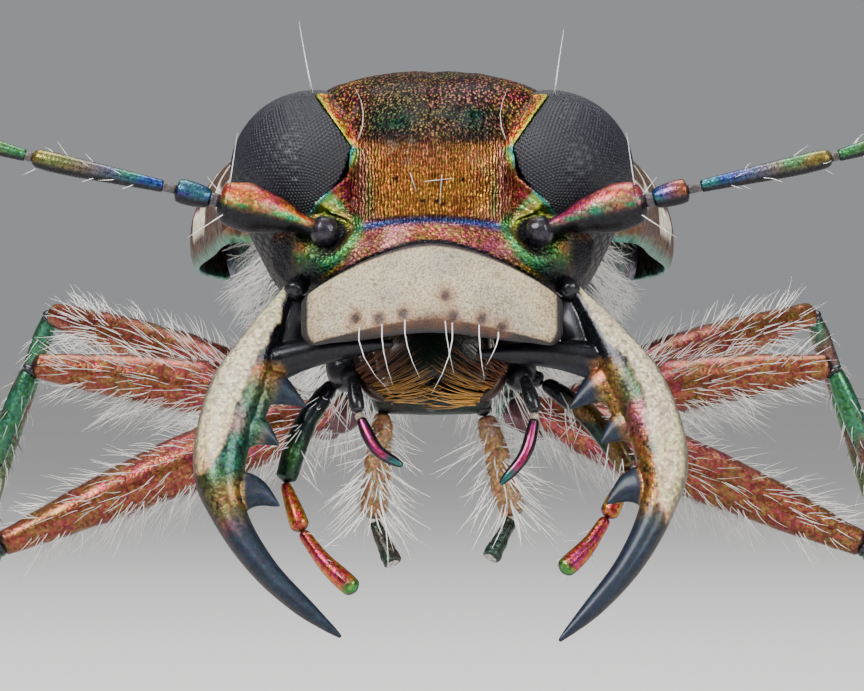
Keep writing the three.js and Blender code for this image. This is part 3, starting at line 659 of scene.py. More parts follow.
HEAD_PARTS = (  # centre, radii and squareness
    ((0, 0.02, -0.35), (1.3, 0.95, 1.05), 2),
    ((0, 0.5, -0.25), (1.3, 0.5, 0.9), 2.5),
    ((0, -0.22, 0.22), (0.95, 0.85, 0.95), 2.6),
    ((0, -0.92, 0.45), (1.5, 0.42, 0.88), 2.5),
    ((1.15, -0.78, 0.3), (0.5, 0.5, 0.66), 2),
    ((0, -0.9, -0.1), (1.15, 0.65, 0.95), 2),
    ((0, -0.1, -1.2), (1.08, 0.86, 0.7), 2),
)


# The points with both sides laid on one
def folded(p):
    return np.column_stack([np.abs(p[:, 0]), p[:, 1:]])


def head_field(p):
    q = folded(p)
    whole = swelling(q, *HEAD_PARTS[0])
    for part in HEAD_PARTS[1:]:
        whole = blended(whole, swelling(q, *part), BLEND)
    return whole


def eye_field(p):
    q = folded(p)
    return blended(
        swelling(q, (1.22, -0.04, -0.12), (0.88, 0.87, 1.08)),
        swelling(q, (1.18, -0.62, -0.25), (0.62, 0.82, 0.88)),
        0.3,
    )


# The eye's inner margin on the face is two lines that meet at the brow's corner. This is the distance
# past them, towards the middle of the face.
ORBIT_CORNER = (0.842, 0.229)
ORBIT_TOP = (1.186, 0.718)
ORBIT_FOOT = (1.28, -0.458)


def past_line(x, v, start, end, side):
    across, up = end[0] - start[0], end[1] - start[1]
    size = math.hypot(across, up)
    return side * ((x - start[0]) * up - (v - start[1]) * across) / size


def orbit_sides(p):
    x, v = np.abs(p[:, 0]), p[:, 1]
    above = past_line(x, v, ORBIT_CORNER, ORBIT_TOP, -1)
    below = past_line(x, v, ORBIT_CORNER, ORBIT_FOOT, 1) - 0.085 * bump(v, -0.1, 0.24)
    front = smooth(-0.1, 0.3, p[:, 2])
    return above - (1 - front), below - (1 - front)


def beyond_orbit(p):
    above, below = orbit_sides(p)
    return np.maximum(above, below)


# How far out the field's surface is along each direction
def star(centre, field, directions, reach=4.0):
    low = np.zeros(len(directions))
    high = np.full(len(directions), reach)
    for _ in range(22):
        middle = (low + high) / 2
        inside = field(centre + directions * middle[:, None]) < 0
        low = np.where(inside, middle, low)
        high = np.where(inside, high, middle)
    return low


# Directions over a sphere from a cube's six grids, with their quads
def cube_sphere(n):
    a = np.tan(np.linspace(-1, 1, n + 1) * np.pi / 4)
    u, v = np.meshgrid(a, a, indexing="ij")
    one = np.ones_like(u)
    index = np.arange((n + 1) ** 2).reshape(n + 1, n + 1)
    quad = np.stack([index[:-1, :-1], index[1:, :-1], index[1:, 1:], index[:-1, 1:]], -1).reshape(-1, 4)
    points = []
    quads = []
    for axis in range(3):
        for sign in (1, -1):
            grid = np.empty((n + 1, n + 1, 3))
            grid[..., axis] = sign * one
            grid[..., (axis + 1) % 3] = u
            grid[..., (axis + 2) % 3] = v
            quads.append((quad if sign > 0 else quad[:, ::-1]) + len(points) * (n + 1) ** 2)
            points.append(grid.reshape(-1, 3))
    points = unit(np.vstack(points))
    keys = np.round(points * 1e5).astype(np.int64)
    _, first, inverse = np.unique(keys, axis=0, return_index=True, return_inverse=True)
    return points[first], inverse.reshape(-1)[np.vstack(quads)]


HEAD_CENTRE = np.array([0, -0.25, -0.1])
BULB = np.array([1.11, -0.65, 1.02])  # the antenna's root, in its socket


# The height of the groove under the brow
def suture(x):
    return -0.52 - 0.16 * x ** 2


# The distance of each point from the socket on its side
def from_socket(p):
    return np.linalg.norm(folded(p) - BULB, axis=1)


# How much a point of the skin lies beside an eye, from 0 to 1
def by_eye(p):
    return smooth(0.30, 0.12, eye_field(p))


# How far the head's surface rises: to the eyes' margins, in grooves and pits, and round the sockets
def head_relief(p, directions):
    # The skin is lifted over the inner part of the eyes, up to their margin.
    lift = np.clip(-eye_field(p), 0, 0.5)
    for _ in range(3):
        lifted = p + directions * lift[:, None]
        lift = np.clip(lift - np.minimum(eye_field(lifted), 0), 0, 0.6)
    lifted = p + directions * lift[:, None]
    cover = lift * smooth(-0.03, 0.02, beyond_orbit(lifted))
    p = p + directions * cover[:, None]
    x = np.abs(p[:, 0])
    v, f = p[:, 1], p[:, 2]
    front = smooth(0.3, 0.7, f)
    rise = cover - 0.035 * bump(v, suture(x), 0.03) * front * smooth(0.95, 0.8, x)
    rise -= 0.09 * bump(x, 0.86, 0.08) * bump(v, -0.12, 0.15) * front
    rise += 0.08 * bump(x, 0.98, 0.15) * bump(v, -0.42, 0.16) * front
    rise -= 0.07 * bump(x, 0.8, 0.05) * bump(v, -0.45, 0.2) * front
    rise -= 0.12 * bump(x, 1.5, 0.22) * bump(v, -0.95, 0.3) * front
    socket = from_socket(p)
    rise -= 0.13 * np.exp(-((socket / 0.27) ** 6))
    rise += 0.035 * bump(socket, 0.33, 0.06)
    rise -= 0.018 * bump(x, 0, 0.05) * smooth(0.1, 0.5, v) * smooth(-0.9, -0.2, f)
    margin = beyond_orbit(p)
    rise += 0.025 * bump(margin, 0.03, 0.03) * (lift > 0)
    rise -= 0.02 * bump(margin, 0.1, 0.035) * (lift > 0)
    rise += 0.012 * noise(p, 5, 1) + 0.006 * noise(p, 14, 2)
    return rise


BROW_DOTS = ((-0.37, -0.11), (0.32, -0.12), (-0.10, -0.34), (0.05, -0.34), (0.12, -0.37))


def head_tint(p):
    x = np.abs(p[:, 0])
    v, f = p[:, 1], p[:, 2]
    front = smooth(0.1, 0.5, f)
    patch = noise(p, 3, 5)
    colour = plain((0.28, 0.115, 0.055), len(p))
    colour = mixed(colour, (0.42, 0.19, 0.15), 0.6 * smooth(0.0, 0.7, patch))
    colour = mixed(colour, (0.17, 0.16, 0.05), 0.7 * smooth(0.0, 0.7, -patch))
    colour = mixed(colour, COPPER, 0.8 * bump(x, 0.85, 0.18) * smooth(0.2, 0.35, v))
    green = bump(x, 0.38, 0.27) * bump(v, 0.50, 0.17) * (0.85 + 0.6 * noise(p, 7, 13))
    colour = mixed(colour, (0.004, 0.085, 0.04), np.clip(green * 1.1, 0, 1))
    colour = mixed(colour, BLACK, 0.75 * bump(x, 0.42, 0.3) * bump(v, 0.33, 0.07) * front)
    # The brow between the eyes is golden, with violet in its upper middle and green and pink sides.
    brow = smooth(0.86, 0.72, x) * smooth(-0.56, -0.46, v) * smooth(0.30, 0.16, v) * front
    colour = mixed(colour, GOLD, brow)
    colour = mixed(colour, COPPER, brow * smooth(-0.1, 0.6, noise(p, 4.5, 9)) * 0.45)
    colour = mixed(colour, VIOLET, brow * bump(x, 0, 0.25) * smooth(-0.1, 0.25, v) * 0.3)
    colour = mixed(colour, PINK, brow * bump(x, 0.74, 0.09) * 0.75)
    colour = mixed(colour, GREEN, brow * bump(x, 0.64, 0.05) * smooth(0.2, -0.3, v) * 0.6)
    for across, up in BROW_DOTS:
        dot = np.exp(-((p[:, 0] - across) ** 2 + (v - up) ** 2) / 0.025 ** 2) * front
        colour = mixed(colour, BLACK, np.clip(dot * 1.4, 0, 1))
    pit = bump(x, 0.89, 0.085) * bump(v, -0.14, 0.17) * front
    colour = mixed(colour, (0.15, 0.007, 0.008), np.clip(pit * 1.9, 0, 1))
    clypeus = smooth(-0.5, -0.58, v) * smooth(1.6, 1.3, x) * front
    colour = mixed(colour, (0.26, 0.08, 0.05), clypeus)
    colour = mixed(colour, PINK, clypeus * smooth(-0.2, 0.5, noise(p, 4.2, 12)) * bump(x, 0.5, 0.45) * 0.9)
    colour = mixed(colour, COPPER, clypeus * bump(x, 0.0, 0.35) * 0.6)
    colour = mixed(colour, (0.03, 0.05, 0.045), clypeus * smooth(0.75, 1.1, x))
    colour = mixed(colour, BLUE, bump(v, suture(x) - 0.01, 0.035) * front * smooth(1.0, 0.8, x) * 0.95)
    # A swelling between the brow and the antenna's socket is painted bright red, with lime on its lower
    # part: its own colour brightened into a painted highlight.
    highlit_lobe = np.clip(1.8 * bump(x, 0.98, 0.17) * bump(v, -0.48, 0.21) * front, 0, 1)
    colour = mixed(colour, (0.80, 0.20, 0.16), highlit_lobe)
    colour = mixed(colour, LIME, highlit_lobe * smooth(-0.36, -0.50, v - 0.7 * (x - 0.98)))
    socket = from_socket(p)
    colour = mixed(colour, GREEN, bump(socket, 0.36, 0.06) * smooth(1.25, 1.0, x) * 0.9)
    colour = mixed(colour, BLACK, smooth(0.30, 0.22, socket))
    # Thin bright lines follow the eye's margin.
    above, below = orbit_sides(p)
    margin = np.maximum(above, below)
    near = smooth(0.5, 0.3, np.abs(margin)) * smooth(-0.55, -0.42, v) * by_eye(p)
    upper = (above > below) * 1.0
    outer = mixed(plain(TEAL, len(p)), LIME, upper)
    inner = mixed(plain((0.24, 0.44, 0.05), len(p)), (0.80, 0.26, 0.03), upper)
    colour = mixed(colour, outer, np.clip(bump(margin, 0.012, 0.03) * near * 1.3, 0, 1))
    colour = mixed(colour, inner, bump(margin, 0.062, 0.026) * near)
    colour = mixed(colour, TEAL, np.exp(-((x - 0.84) ** 2 + (v - 0.2) ** 2) / 0.004) * front)
    # A dark red triangle lies between the brow and the eye's corner.
    wedge = 0.80 + 0.27 * (1 - np.abs(v + 0.22) / 0.32) - x
    wedge = smooth(0.0, 0.04, wedge) * smooth(0.79, 0.82, x) * front
    colour = mixed(colour, (0.15, 0.008, 0.010), wedge * 0.92)
    cheek = bump(x, 1.33, 0.13) * bump(v, -0.86, 0.12) * front
    colour = mixed(colour, (0.10, 0.30, 0.05), cheek * 0.9)
    colour = mixed(colour, COPPER, bump(x, 1.36, 0.07) * bump(v, -0.82, 0.06) * 0.8)
    lip = v - lip_arch(np.minimum(x, 1.3) / LIP_HALF_WIDTH) - 0.03
    gold = bump(lip, 0.085, 0.02) * smooth(0.8, 1.0, x) * smooth(1.32, 1.25, x) * front
    colour = mixed(colour, BLACK, smooth(0.06, 0.03, lip) * front * smooth(1.6, 1.4, x))
    colour = mixed(colour, (0.60, 0.33, 0.04), gold)
    colour = mixed(colour, BLACK, smooth(1.36, 1.5, x) * smooth(-0.6, -0.8, v) * front)
    return mixed(colour, (0.02, 0.02, 0.025), smooth(-1.0, -1.2, v))


def head_piece():
    directions, quads = cube_sphere(124)
    reach = star(HEAD_CENTRE, head_field, directions)
    p = HEAD_CENTRE + directions * reach[:, None]
    rise = head_relief(p, directions)
    p = p + directions * rise[:, None]
    x = np.abs(p[:, 0])
    v, f = p[:, 1], p[:, 2]
    brow = smooth(0.9, 0.72, x) * smooth(-0.6, -0.5, v) * smooth(0.4, 0.2, v) * smooth(0.1, 0.5, f)
    highlit_lobe = bump(x, 1.0, 0.2) * bump(v, -0.3, 0.45) * smooth(0.1, 0.5, f)
    rim = bump(beyond_orbit(p), 0.03, 0.07) * smooth(-0.7, -0.5, v) * by_eye(p)
    grain = np.clip(1 - 0.4 * brow - 0.75 * highlit_lobe - 0.6 * rim, 0.12, 1)
    grain *= 0.6 + 0.4 * smooth(-0.6, -0.45, v)
    skin = np.stack([np.full(len(p), 0.9), 0.34 - 0.02 * brow, grain, brow], -1)
    shape = Shape()
    shape.add(face(p[:, 0], p[:, 1], p[:, 2]), [quads], head_tint(p), skin)
    # The neck's membrane closes the gap to the prothorax.
    neck = Line([face(0, -0.1, -0.6), trunk(0, 0.5, 0.0)])
    points, faces, _, _ = tube(neck, 1.05, 48, 30, flat=0.8)
    shape.add(points, faces, (0.03, 0.025, 0.025), (0, 0.6, 0.3, 0))
    # The mandibles turn on a knob at each side.
    for _, s in SIDES:
        knob = Line([face(s * 1.36, -1.2, 0.62), face(s * 1.45, -1.28, 0.86)])
        points, faces, _, _ = tube(knob, [[0, 0.12], [1, 0.1]], 24, 16)
        shape.add(points, faces, BLACK, (0.1, 0.2, 0.1, 0))
    shape.build("skin_head", FACE, "copper_cuticle", ["head"])


# Eyes: each facet is a small dome over its own cell of a geodesic sphere

FACET_SUBDIVISIONS = 6
FACET_RISE = 0.008
EYE_CENTRE = np.array([1.25, -0.2, -0.15])


# The eye's surface, which dips under the head's skin past its margin
def eye_surface(directions, height):
    reach = star(EYE_CENTRE, eye_field, directions) + height
    p = EYE_CENTRE + directions * reach[:, None]
    sunk = smooth(0.0, 0.05, beyond_orbit(p)) * 0.45
    return p - directions * sunk[:, None]


def eye_piece(name, s, sphere, triangles):
    corners = unit(sphere[triangles].mean(1))
    inner = unit(0.42 * sphere[triangles] + 0.58 * corners[:, None]).reshape(-1, 3)
    tops = eye_surface(sphere, FACET_RISE)
    grooves = eye_surface(corners, -FACET_RISE)
    slopes = eye_surface(inner, FACET_RISE / 4)
    # Each edge of each triangle has a twin in the triangle beside it.
    count = len(sphere)
    start = triangles.reshape(-1)
    end = np.roll(triangles, -1, axis=1).reshape(-1)
    keys = start * count + end
    order = np.argsort(keys)
    twin = order[np.searchsorted(keys[order], end * count + start)]
    # Facets that the head hides are left out.
    shown = (beyond_orbit(tops) < 0.12) & (head_field(tops) > -0.15)
    half = np.flatnonzero(shown[start] & shown[end])
    start = start[half]
    twin = twin[half]
    cell = half // 3
    other_cell = twin // 3
    first_slope = count + len(corners)
    mine = first_slope + half
    theirs = first_slope + other_cell * 3 + (twin + 1) % 3
    quads = np.stack([mine, count + cell, count + other_cell, theirs], -1)
    caps = np.stack([start, mine, theirs], -1)
    p = np.vstack([tops, grooves, slopes])
    low = smooth(-0.2, -0.9, p[:, 1])
    tint = mixed(plain((0.010, 0.010, 0.016), len(p)), (0.006, 0.005, 0.006), low)
    # The grooves between facets are darkened as painted shade.
    tint[count:first_slope] *= 0.3
    shape = Shape()
    shape.add(face(s * p[:, 0], p[:, 1], p[:, 2]), [quads, caps], tint, (0, 0.2, 0, 0))
    shape.build(f"facets_{name}", EYE, "eye", [f"eye_{name}"])


def eyes():
    ball = bmesh.new()
    bmesh.ops.create_icosphere(ball, subdivisions=FACET_SUBDIVISIONS, radius=1)
    sphere = unit(np.array([v.co[:] for v in ball.verts]))
    triangles = np.array([[v.index for v in f.verts] for f in ball.faces])
    ball.free()
    for name, s in SIDES:
        eye_piece(name, s, sphere, triangles)


# Lip: u runs across, and t runs down from the arched top edge.

LIP_HALF_WIDTH = 1.33
LIP_TOP = -0.80
LIP_SHOULDER = -1.39
LIP_BOTTOM = -1.74
LIP_FRONT = 1.42
LIP_LEAN_FROM = -0.72
LIP_THICKNESS = 0.3
LIP_HEIGHT = 0.75  # about where the pits are
LIP_PITS = (  # place across, place down, and how far the hair's tip is across and up from it
    (-0.56, 0.80, 0.33, -0.71),
    (-0.39, 0.867, 0.11, -0.62),
    (-0.21, 0.858, 0.15, -0.59),
    (0.10, 0.671, 0.09, -0.72),
    (0.16, 0.90, -0.21, -0.72),
    (0.37, 0.878, 0.05, -0.55),
    (0.53, 0.921, -0.12, -0.33),
)


# The height of the lip's arched top edge
def lip_arch(u):
    return LIP_SHOULDER + (LIP_TOP - LIP_SHOULDER) * (1 - np.abs(u) ** 1.7)


def lip_place(u, t, lift=0.0):
    roundness = 1 - 0.08 * np.clip(t * 4 - 3, 0, 1) ** 2
    top = lip_arch(u)
    bottom = LIP_BOTTOM + 0.07 * np.cos(np.pi * u)
    up = top + (bottom - top) * t
    out = LIP_FRONT - 0.42 * u * u + 0.5 * (LIP_LEAN_FROM - up)
    return face(u * LIP_HALF_WIDTH * roundness, up, out - LIP_THICKNESS / 2 + lift)


def lip_piece():
    # The pillow's first side faces backwards here.
    points, faces, u, v, rear = pillow(210, 90, lambda u, v: lip_place(u, (v + 1) / 2), LIP_THICKNESS / 2)
    t = (v + 1) / 2
    front = 1 - rear
    relief = 0.014 * noise(points, 7, 3) + 0.008 * noise(points, 20, 4)
    relief += 0.02 * bump(u, 0, 0.1) * smooth(0.0, 0.5, t)
    tint = plain((0.48, 0.45, 0.31), len(points))
    tint = mixed(tint, (0.32, 0.33, 0.26), 0.75 * smooth(-0.2, 0.6, noise(points, 3.2, 8)))
    edge = np.maximum(smooth(0.10, 0.06, t), smooth(0.935, 0.955, t))
    edge = np.maximum(edge, smooth(0.90, 0.94, np.abs(u)))
    warm = np.maximum(smooth(0.16, 0.0, t), smooth(0.86, 0.99, t))
    warm = np.maximum(warm, np.abs(u) ** 7)
    tint = mixed(tint, (0.42, 0.25, 0.11), warm * (0.55 + 0.3 * noise(points, 5, 9)))
    tint = mixed(tint, (0.012, 0.009, 0.012), np.clip(edge * 1.4, 0, 1))
    blotch = np.exp(-((u / 0.19) ** 2 + ((t - 0.93) / 0.09) ** 2))
    tint = mixed(tint, (0.12, 0.045, 0.018), 0.85 * blotch)
    ragged = 1 + 0.5 * noise(points, 30, 7)
    for place, down, _, _ in LIP_PITS:
        gap = np.hypot((u - place) * LIP_HALF_WIDTH, (t - down) * LIP_HEIGHT)
        spot = np.exp(-((gap / 0.05) ** 2) * ragged)
        relief -= 0.02 * spot
        tint = mixed(tint, (0.28, 0.10, 0.03), 0.75 * bump(gap, 0, 0.1))
        tint = mixed(tint, (0.04, 0.012, 0.005), np.clip(spot * 1.3, 0, 1))
    tint = mixed(tint, (0.02, 0.02, 0.04), (1 - front) * 0.9)
    points = points + unit(np.array([[0, -1.0, 0.25]])) * (relief * front * (1 - edge))[:, None]
    shape = Shape()
    shape.add(points, faces, tint, (0, 0.35, 1, 0))
    shape.build("lip", IVORY_LIP, "ivory", ["labrum"])


# Mandibles

HINGE = (1.47, -1.3)
OPENING = {"left": 3.0, "right": -3.0}
SICKLE = (
    (1.43, -1.2), (1.79, -1.8), (2.11, -2.42), (2.26, -2.96), (2.25, -3.3), (2.12, -3.66), (1.84, -4.1),
    (1.5, -4.46), (1.1, -4.81),
)
SICKLE_RADII = [[0, 0.06], [0.07, 0.12], [0.15, 0.2], [0.3, 0.30], [0.45, 0.28], [0.52, 0.25], [0.6, 0.185],
                [0.75, 0.14], [0.88, 0.105], [0.96, 0.055], [1, 0.02]]
SICKLE_FLAT = [[0, 1.3], [0.3, 0.8], [0.6, 0.95], [1, 0.95]]
TEETH = (  # root, tip, half width
    ((1.94, -2.18), (1.34, -2.47), 0.30),
    ((2.10, -2.64), (1.64, -2.84), 0.30),
    ((2.13, -3.28), (1.66, -3.46), 0.27),
)
# The inner blade, the web between the teeth and the plate at the hinge: path, radii, steps, flatness
SHEETS = (
    (((1.72, -2.02, 0.92), (1.35, -1.93, 0.97), (0.95, -1.88, 1.0), (0.42, -1.86, 1.05)),
     [[0, 0.2], [0.3, 0.15], [0.7, 0.1], [1, 0.03]], 60, 1.25),
    (((1.84, -1.98), (1.88, -2.35), (2.0, -2.74)),
     [[0, 0.13], [0.4, 0.18], [1, 0.11]], 40, 0.7),
    (((1.42, -1.28, 0.66), (1.47, -1.6, 0.8), (1.62, -2.05, 0.95)),
     [[0, 0.12], [0.4, 0.2], [1, 0.24]], 40, 0.55),
)
# The ivory's inner edge from its end upwards, as seen from in front: up, across
IVORY_EDGE = {
    "right": [[-3.20, 2.42], [-3.15, 2.33], [-2.92, 2.19], [-2.65, 2.06], [-2.51, 2.02], [-2.15, 1.88],
              [-1.90, 1.76], [-1.62, 1.60], [-1.21, 1.46]],
    "left": [[-3.72, 2.45], [-3.5, 2.33], [-3.13, 2.31], [-2.86, 2.29], [-2.63, 2.2], [-2.34, 2.16],
             [-2.12, 2.07], [-1.82, 1.86], [-1.52, 1.65], [-1.21, 1.47]],
}


# The mandibles lean forwards on their way down.
def leaning(up):
    return 0.72 + 0.45 * (HINGE[1] - up)


def mandible_piece(name, s):
    angle = math.radians(OPENING[name])

    def opened(across, up, out=None):
        out = leaning(up) if out is None else out
        x, y = across - HINGE[0], up - HINGE[1]
        return face(
            s * (HINGE[0] + x * math.cos(angle) - y * math.sin(angle)),
            HINGE[1] + x * math.sin(angle) + y * math.cos(angle),
            out,
        )

    outward = (0, -1, 0.4)
    sickle = Line([opened(*p) for p in SICKLE])
    parts = [tube(sickle, SICKLE_RADII, 40, 150, SICKLE_FLAT, outward, cap=0.8)]
    for root, tip, width in TEETH:
        bent = ((root[0] + tip[0]) / 2, (root[1] + tip[1]) / 2 + 0.05)
        tooth = Line([opened(*root), opened(*bent), opened(*tip)])
        parts.append(tube(tooth, [[0, width], [0.35, width * 0.72], [0.7, width * 0.34], [1, 0.012]],
                          28, 40, 0.5, outward))
    for path, radii, steps, flat in SHEETS:
        parts.append(tube(Line([opened(*p) for p in path]), radii, 28, steps, flat, outward))
    points, faces = fused(parts, 0.014, 5)
    # Colours lie as they are seen from in front, a little enlarged by nearness.
    q = to_face(points)
    nearer = CAMERA_DISTANCE / (CAMERA_DISTANCE - q[:, 2])
    seen = np.abs(q[:, 0]) * nearer
    height = (q[:, 1] + EYE_HEIGHT - CAMERA_HEIGHT) * nearer + CAMERA_HEIGHT - EYE_HEIGHT
    t, side, far = beside(points, sickle, SICKLE_RADII, np.array([-float(s), 0, 0]))
    ragged = 0.035 * noise(points, 9, 21 + s) + 0.02 * noise(points, 24, 22)
    inside = along(IVORY_EDGE[name], height) + 0.03 - seen + ragged
    end = IVORY_EDGE[name][0][0]
    ivory = smooth(0.025, -0.02, inside) * smooth(end - 0.02, end + 0.06, height + ragged)
    dots = noise(points, 34, 31)
    colour = plain((0.05, 0.075, 0.03), len(points))
    colour = mixed(colour, (0.02, 0.12, 0.05), smooth(0.0, 0.6, noise(points, 2.6, 44)) * 0.8)
    colour = mixed(colour, (0.34, 0.13, 0.03), smooth(-0.1, 0.5, noise(points, 2.2, 45)) * 0.85)
    colour = mixed(colour, (0.32, 0.05, 0.07), smooth(0.0, 0.6, noise(points, 2.4, 46)) * 0.75)
    colour = mixed(colour, (0.015, 0.10, 0.09), smooth(0.2, 0.8, noise(points, 3.0, 47)) * 0.8)
    # The teeth, the tip and the inner edge are blue-black, and the sheet above them is black.
    dark = smooth(1.12, 1.6, far + 0.25 * noise(points, 5, 48))
    dark = np.maximum(dark, smooth(0.58, 0.68, t + 0.02 * dots))
    dark = np.maximum(dark, smooth(0.9, 1.15, side) * smooth(0.4, 0.5, t))
    sheet = smooth(-2.16, -1.98, height - 0.1 * smooth(1.4, 2.0, seen) + ragged * 1.5)
    colour = mixed(colour, (0.006, 0.013, 0.026), dark)
    colour = mixed(colour, (0.004, 0.004, 0.008), sheet)
    specks = smooth(0.32, 0.5, dots) * smooth(0.8, 0.6, t)
    colour = mixed(colour, BLACK, specks * 0.8)
    warm = mixed(plain(IVORY, len(points)), (0.60, 0.46, 0.21), smooth(-2.2, end + 0.2, height) * 0.6)
    warm = mixed(warm, (0.20, 0.11, 0.05), smooth(-0.03, 0.0, inside) * 0.6)
    warm = mixed(warm, (0.42, 0.19, 0.06), smooth(end + 0.35, end, height) * 0.7)
    warm = mixed(warm, (0.10, 0.06, 0.04), smooth(0.3, 0.5, dots) * 0.5)
    colour = mixed(colour, warm, ivory)
    colour = mixed(colour, (0.03, 0.02, 0.018), smooth(-0.72, -0.95, side) * 0.85)
    plain_dark = np.maximum(dark, sheet) * (1 - ivory)
    metal = 0.85 * (1 - ivory) * (1 - 0.55 * plain_dark)
    rough = 0.38 + 0.05 * ivory + 0.14 * dark * (1 - ivory) - 0.16 * sheet * (1 - ivory)
    grain = 0.35 * (1 - dark) + 0.06
    shape = Shape()
    shape.add(points, faces, colour, np.stack([metal, rough, grain, np.zeros(len(t))], -1))
    shape.build(f"jaw_{name}", LIMB, "ivory", [f"mandible_{name}"])


# Metalness, roughness, grain and lines of shining limbs, of soft joints and of black cuticle
METAL = (0.8, 0.3, 0.4, 0)
SOFT = (0, 0.5, 0.2, 0)
BLACK_SKIN = (0.15, 0.22, 0.15, 0)


# Limbs: one shape from a line, with a colour, or a function that paints each point from its place along
# the line, its turn and where it is
def limb(shape, points, radii, paint, sides=24, steps=50, up=(0, 0, 1), relief=None, skin=METAL, cap=0.6):
    line = points if isinstance(points, Line) else Line(points)
    p, faces, t, a = tube(line, radii, sides, steps, up=up, relief=relief, cap=cap)
    tint = paint(t, a, p) if callable(paint) else paint
    shape.add(p, faces, tint, skin)
    return line


def rippled(amount, scale, seed):
    def relief(t, a, p):
        return amount * noise(p, scale, seed)

    return relief


# Shades that run along a limb from one colour to another, with patches of a third. Where under is given, the
# limb's underside is painted in it as painted shade.
def shaded(first, second, patch, seed, ends=0.04, under=None):
    def paint(t, a, p):
        colour = mixed(plain(first, len(p)), second, smooth(0.1, 0.9, t))
        colour = mixed(colour, patch, smooth(0.1, 0.7, noise(p, 3.4, seed)) * 0.8)
        # Painted shade: the underside turns to the under colour.
        if under is not None:
            colour = mixed(colour, under, smooth(0.2, -0.6, np.sin(a)))
        dark = np.maximum(smooth(ends, 0, t), smooth(1 - ends, 1, t))
        return mixed(colour, BLACK, dark * 0.9)

    return paint


# Mouthparts

PALPS = {
    "left": {
        "labial": ((0.55, -2.55, 0.46), (0.84, -3.6, 0.62), (0.6, -4.02, 0.85)),
        "maxillary": ((1.15, -2.2, 0.5), (1.62, -2.55, 0.62), (2.05, -3.1, 0.72), (1.8, -3.6, 0.9),
                      (1.33, -4.15, 1.15)),
        "galea": ((0.95, -2.15, 0.82), (1.07, -2.52, 0.98), (0.95, -2.95, 1.15), (0.7, -3.25, 1.22)),
    },
    "right": {
        "labial": ((0.51, -2.52, 0.46), (0.61, -3.62, 0.62), (0.4, -4.08, 0.85)),
        "maxillary": ((1.02, -2.2, 0.5), (1.33, -2.68, 0.62), (1.52, -3.24, 0.72), (1.34, -3.74, 0.9),
                      (0.78, -4.35, 1.15)),
        "galea": ((0.82, -2.15, 0.82), (0.76, -2.52, 0.98), (0.56, -2.9, 1.15), (0.3, -3.06, 1.22)),
    },
}
WHITE = (0.86, 0.85, 0.82)
AMBER = (0.72, 0.36, 0.06)


def labium_piece():
    shape = Shape()
    plate = Line([face(0, -1.2, -0.1), face(0, -1.9, 0.3), face(0, -2.35, 0.42)])
    bar = Line([face(-0.62, -2.4, 0.44), face(0, -2.36, 0.44), face(0.62, -2.4, 0.44)])
    tongue = Line([face(0, -2.1, 0.42), face(0, -2.3, 0.56), face(0, -2.5, 0.6)])
    points, faces = fused([
        tube(plate, [[0, 0.48], [0.6, 0.6], [1, 0.46]], 40, 40, 0.4, (0, -1, 0.5)),
        tube(bar, [[0, 0.13], [0.5, 0.19], [1, 0.13]], 30, 40),
        tube(tongue, [[0, 0.1], [1, 0.05]], 20, 20),
    ], 0.018, 5)
    tint = mixed(plain((0.005, 0.014, 0.009), len(points)), (0.02, 0.01, 0.006),
                 smooth(0.1, 0.8, noise(points, 4, 61)))
    shape.add(points, faces, tint, (0.3, 0.35, 0.5, 0))
    shape.build("lower_lip", LIMB, "dark_cuticle", ["labium"])


# How far each point of a limb lies in front of its line, in the limb's radii
def ahead(line, radii, t, p):
    return (line.at(t) - p)[:, 1] / np.maximum(along(radii, t), 0.01)


# A stripe along a limb's front, between paler flanks and dark outlines
def striped(line, radii, middle, flank, tip):
    def paint(t, a, p):
        forward = ahead(line, radii, t, p)
        wander = 0.12 * noise(p, 7, 79)
        colour = mixed(plain(flank, len(p)), middle, smooth(0.55, 0.95, forward + wander))
        colour = mixed(colour, tip, smooth(0.8, 0.97, t + wander * 0.5))
        colour = mixed(colour, BLACK, smooth(0.42, 0.1, forward) * 0.9)
        return mixed(colour, BLACK, smooth(0.07, 0.0, t) * 0.8)

    return paint


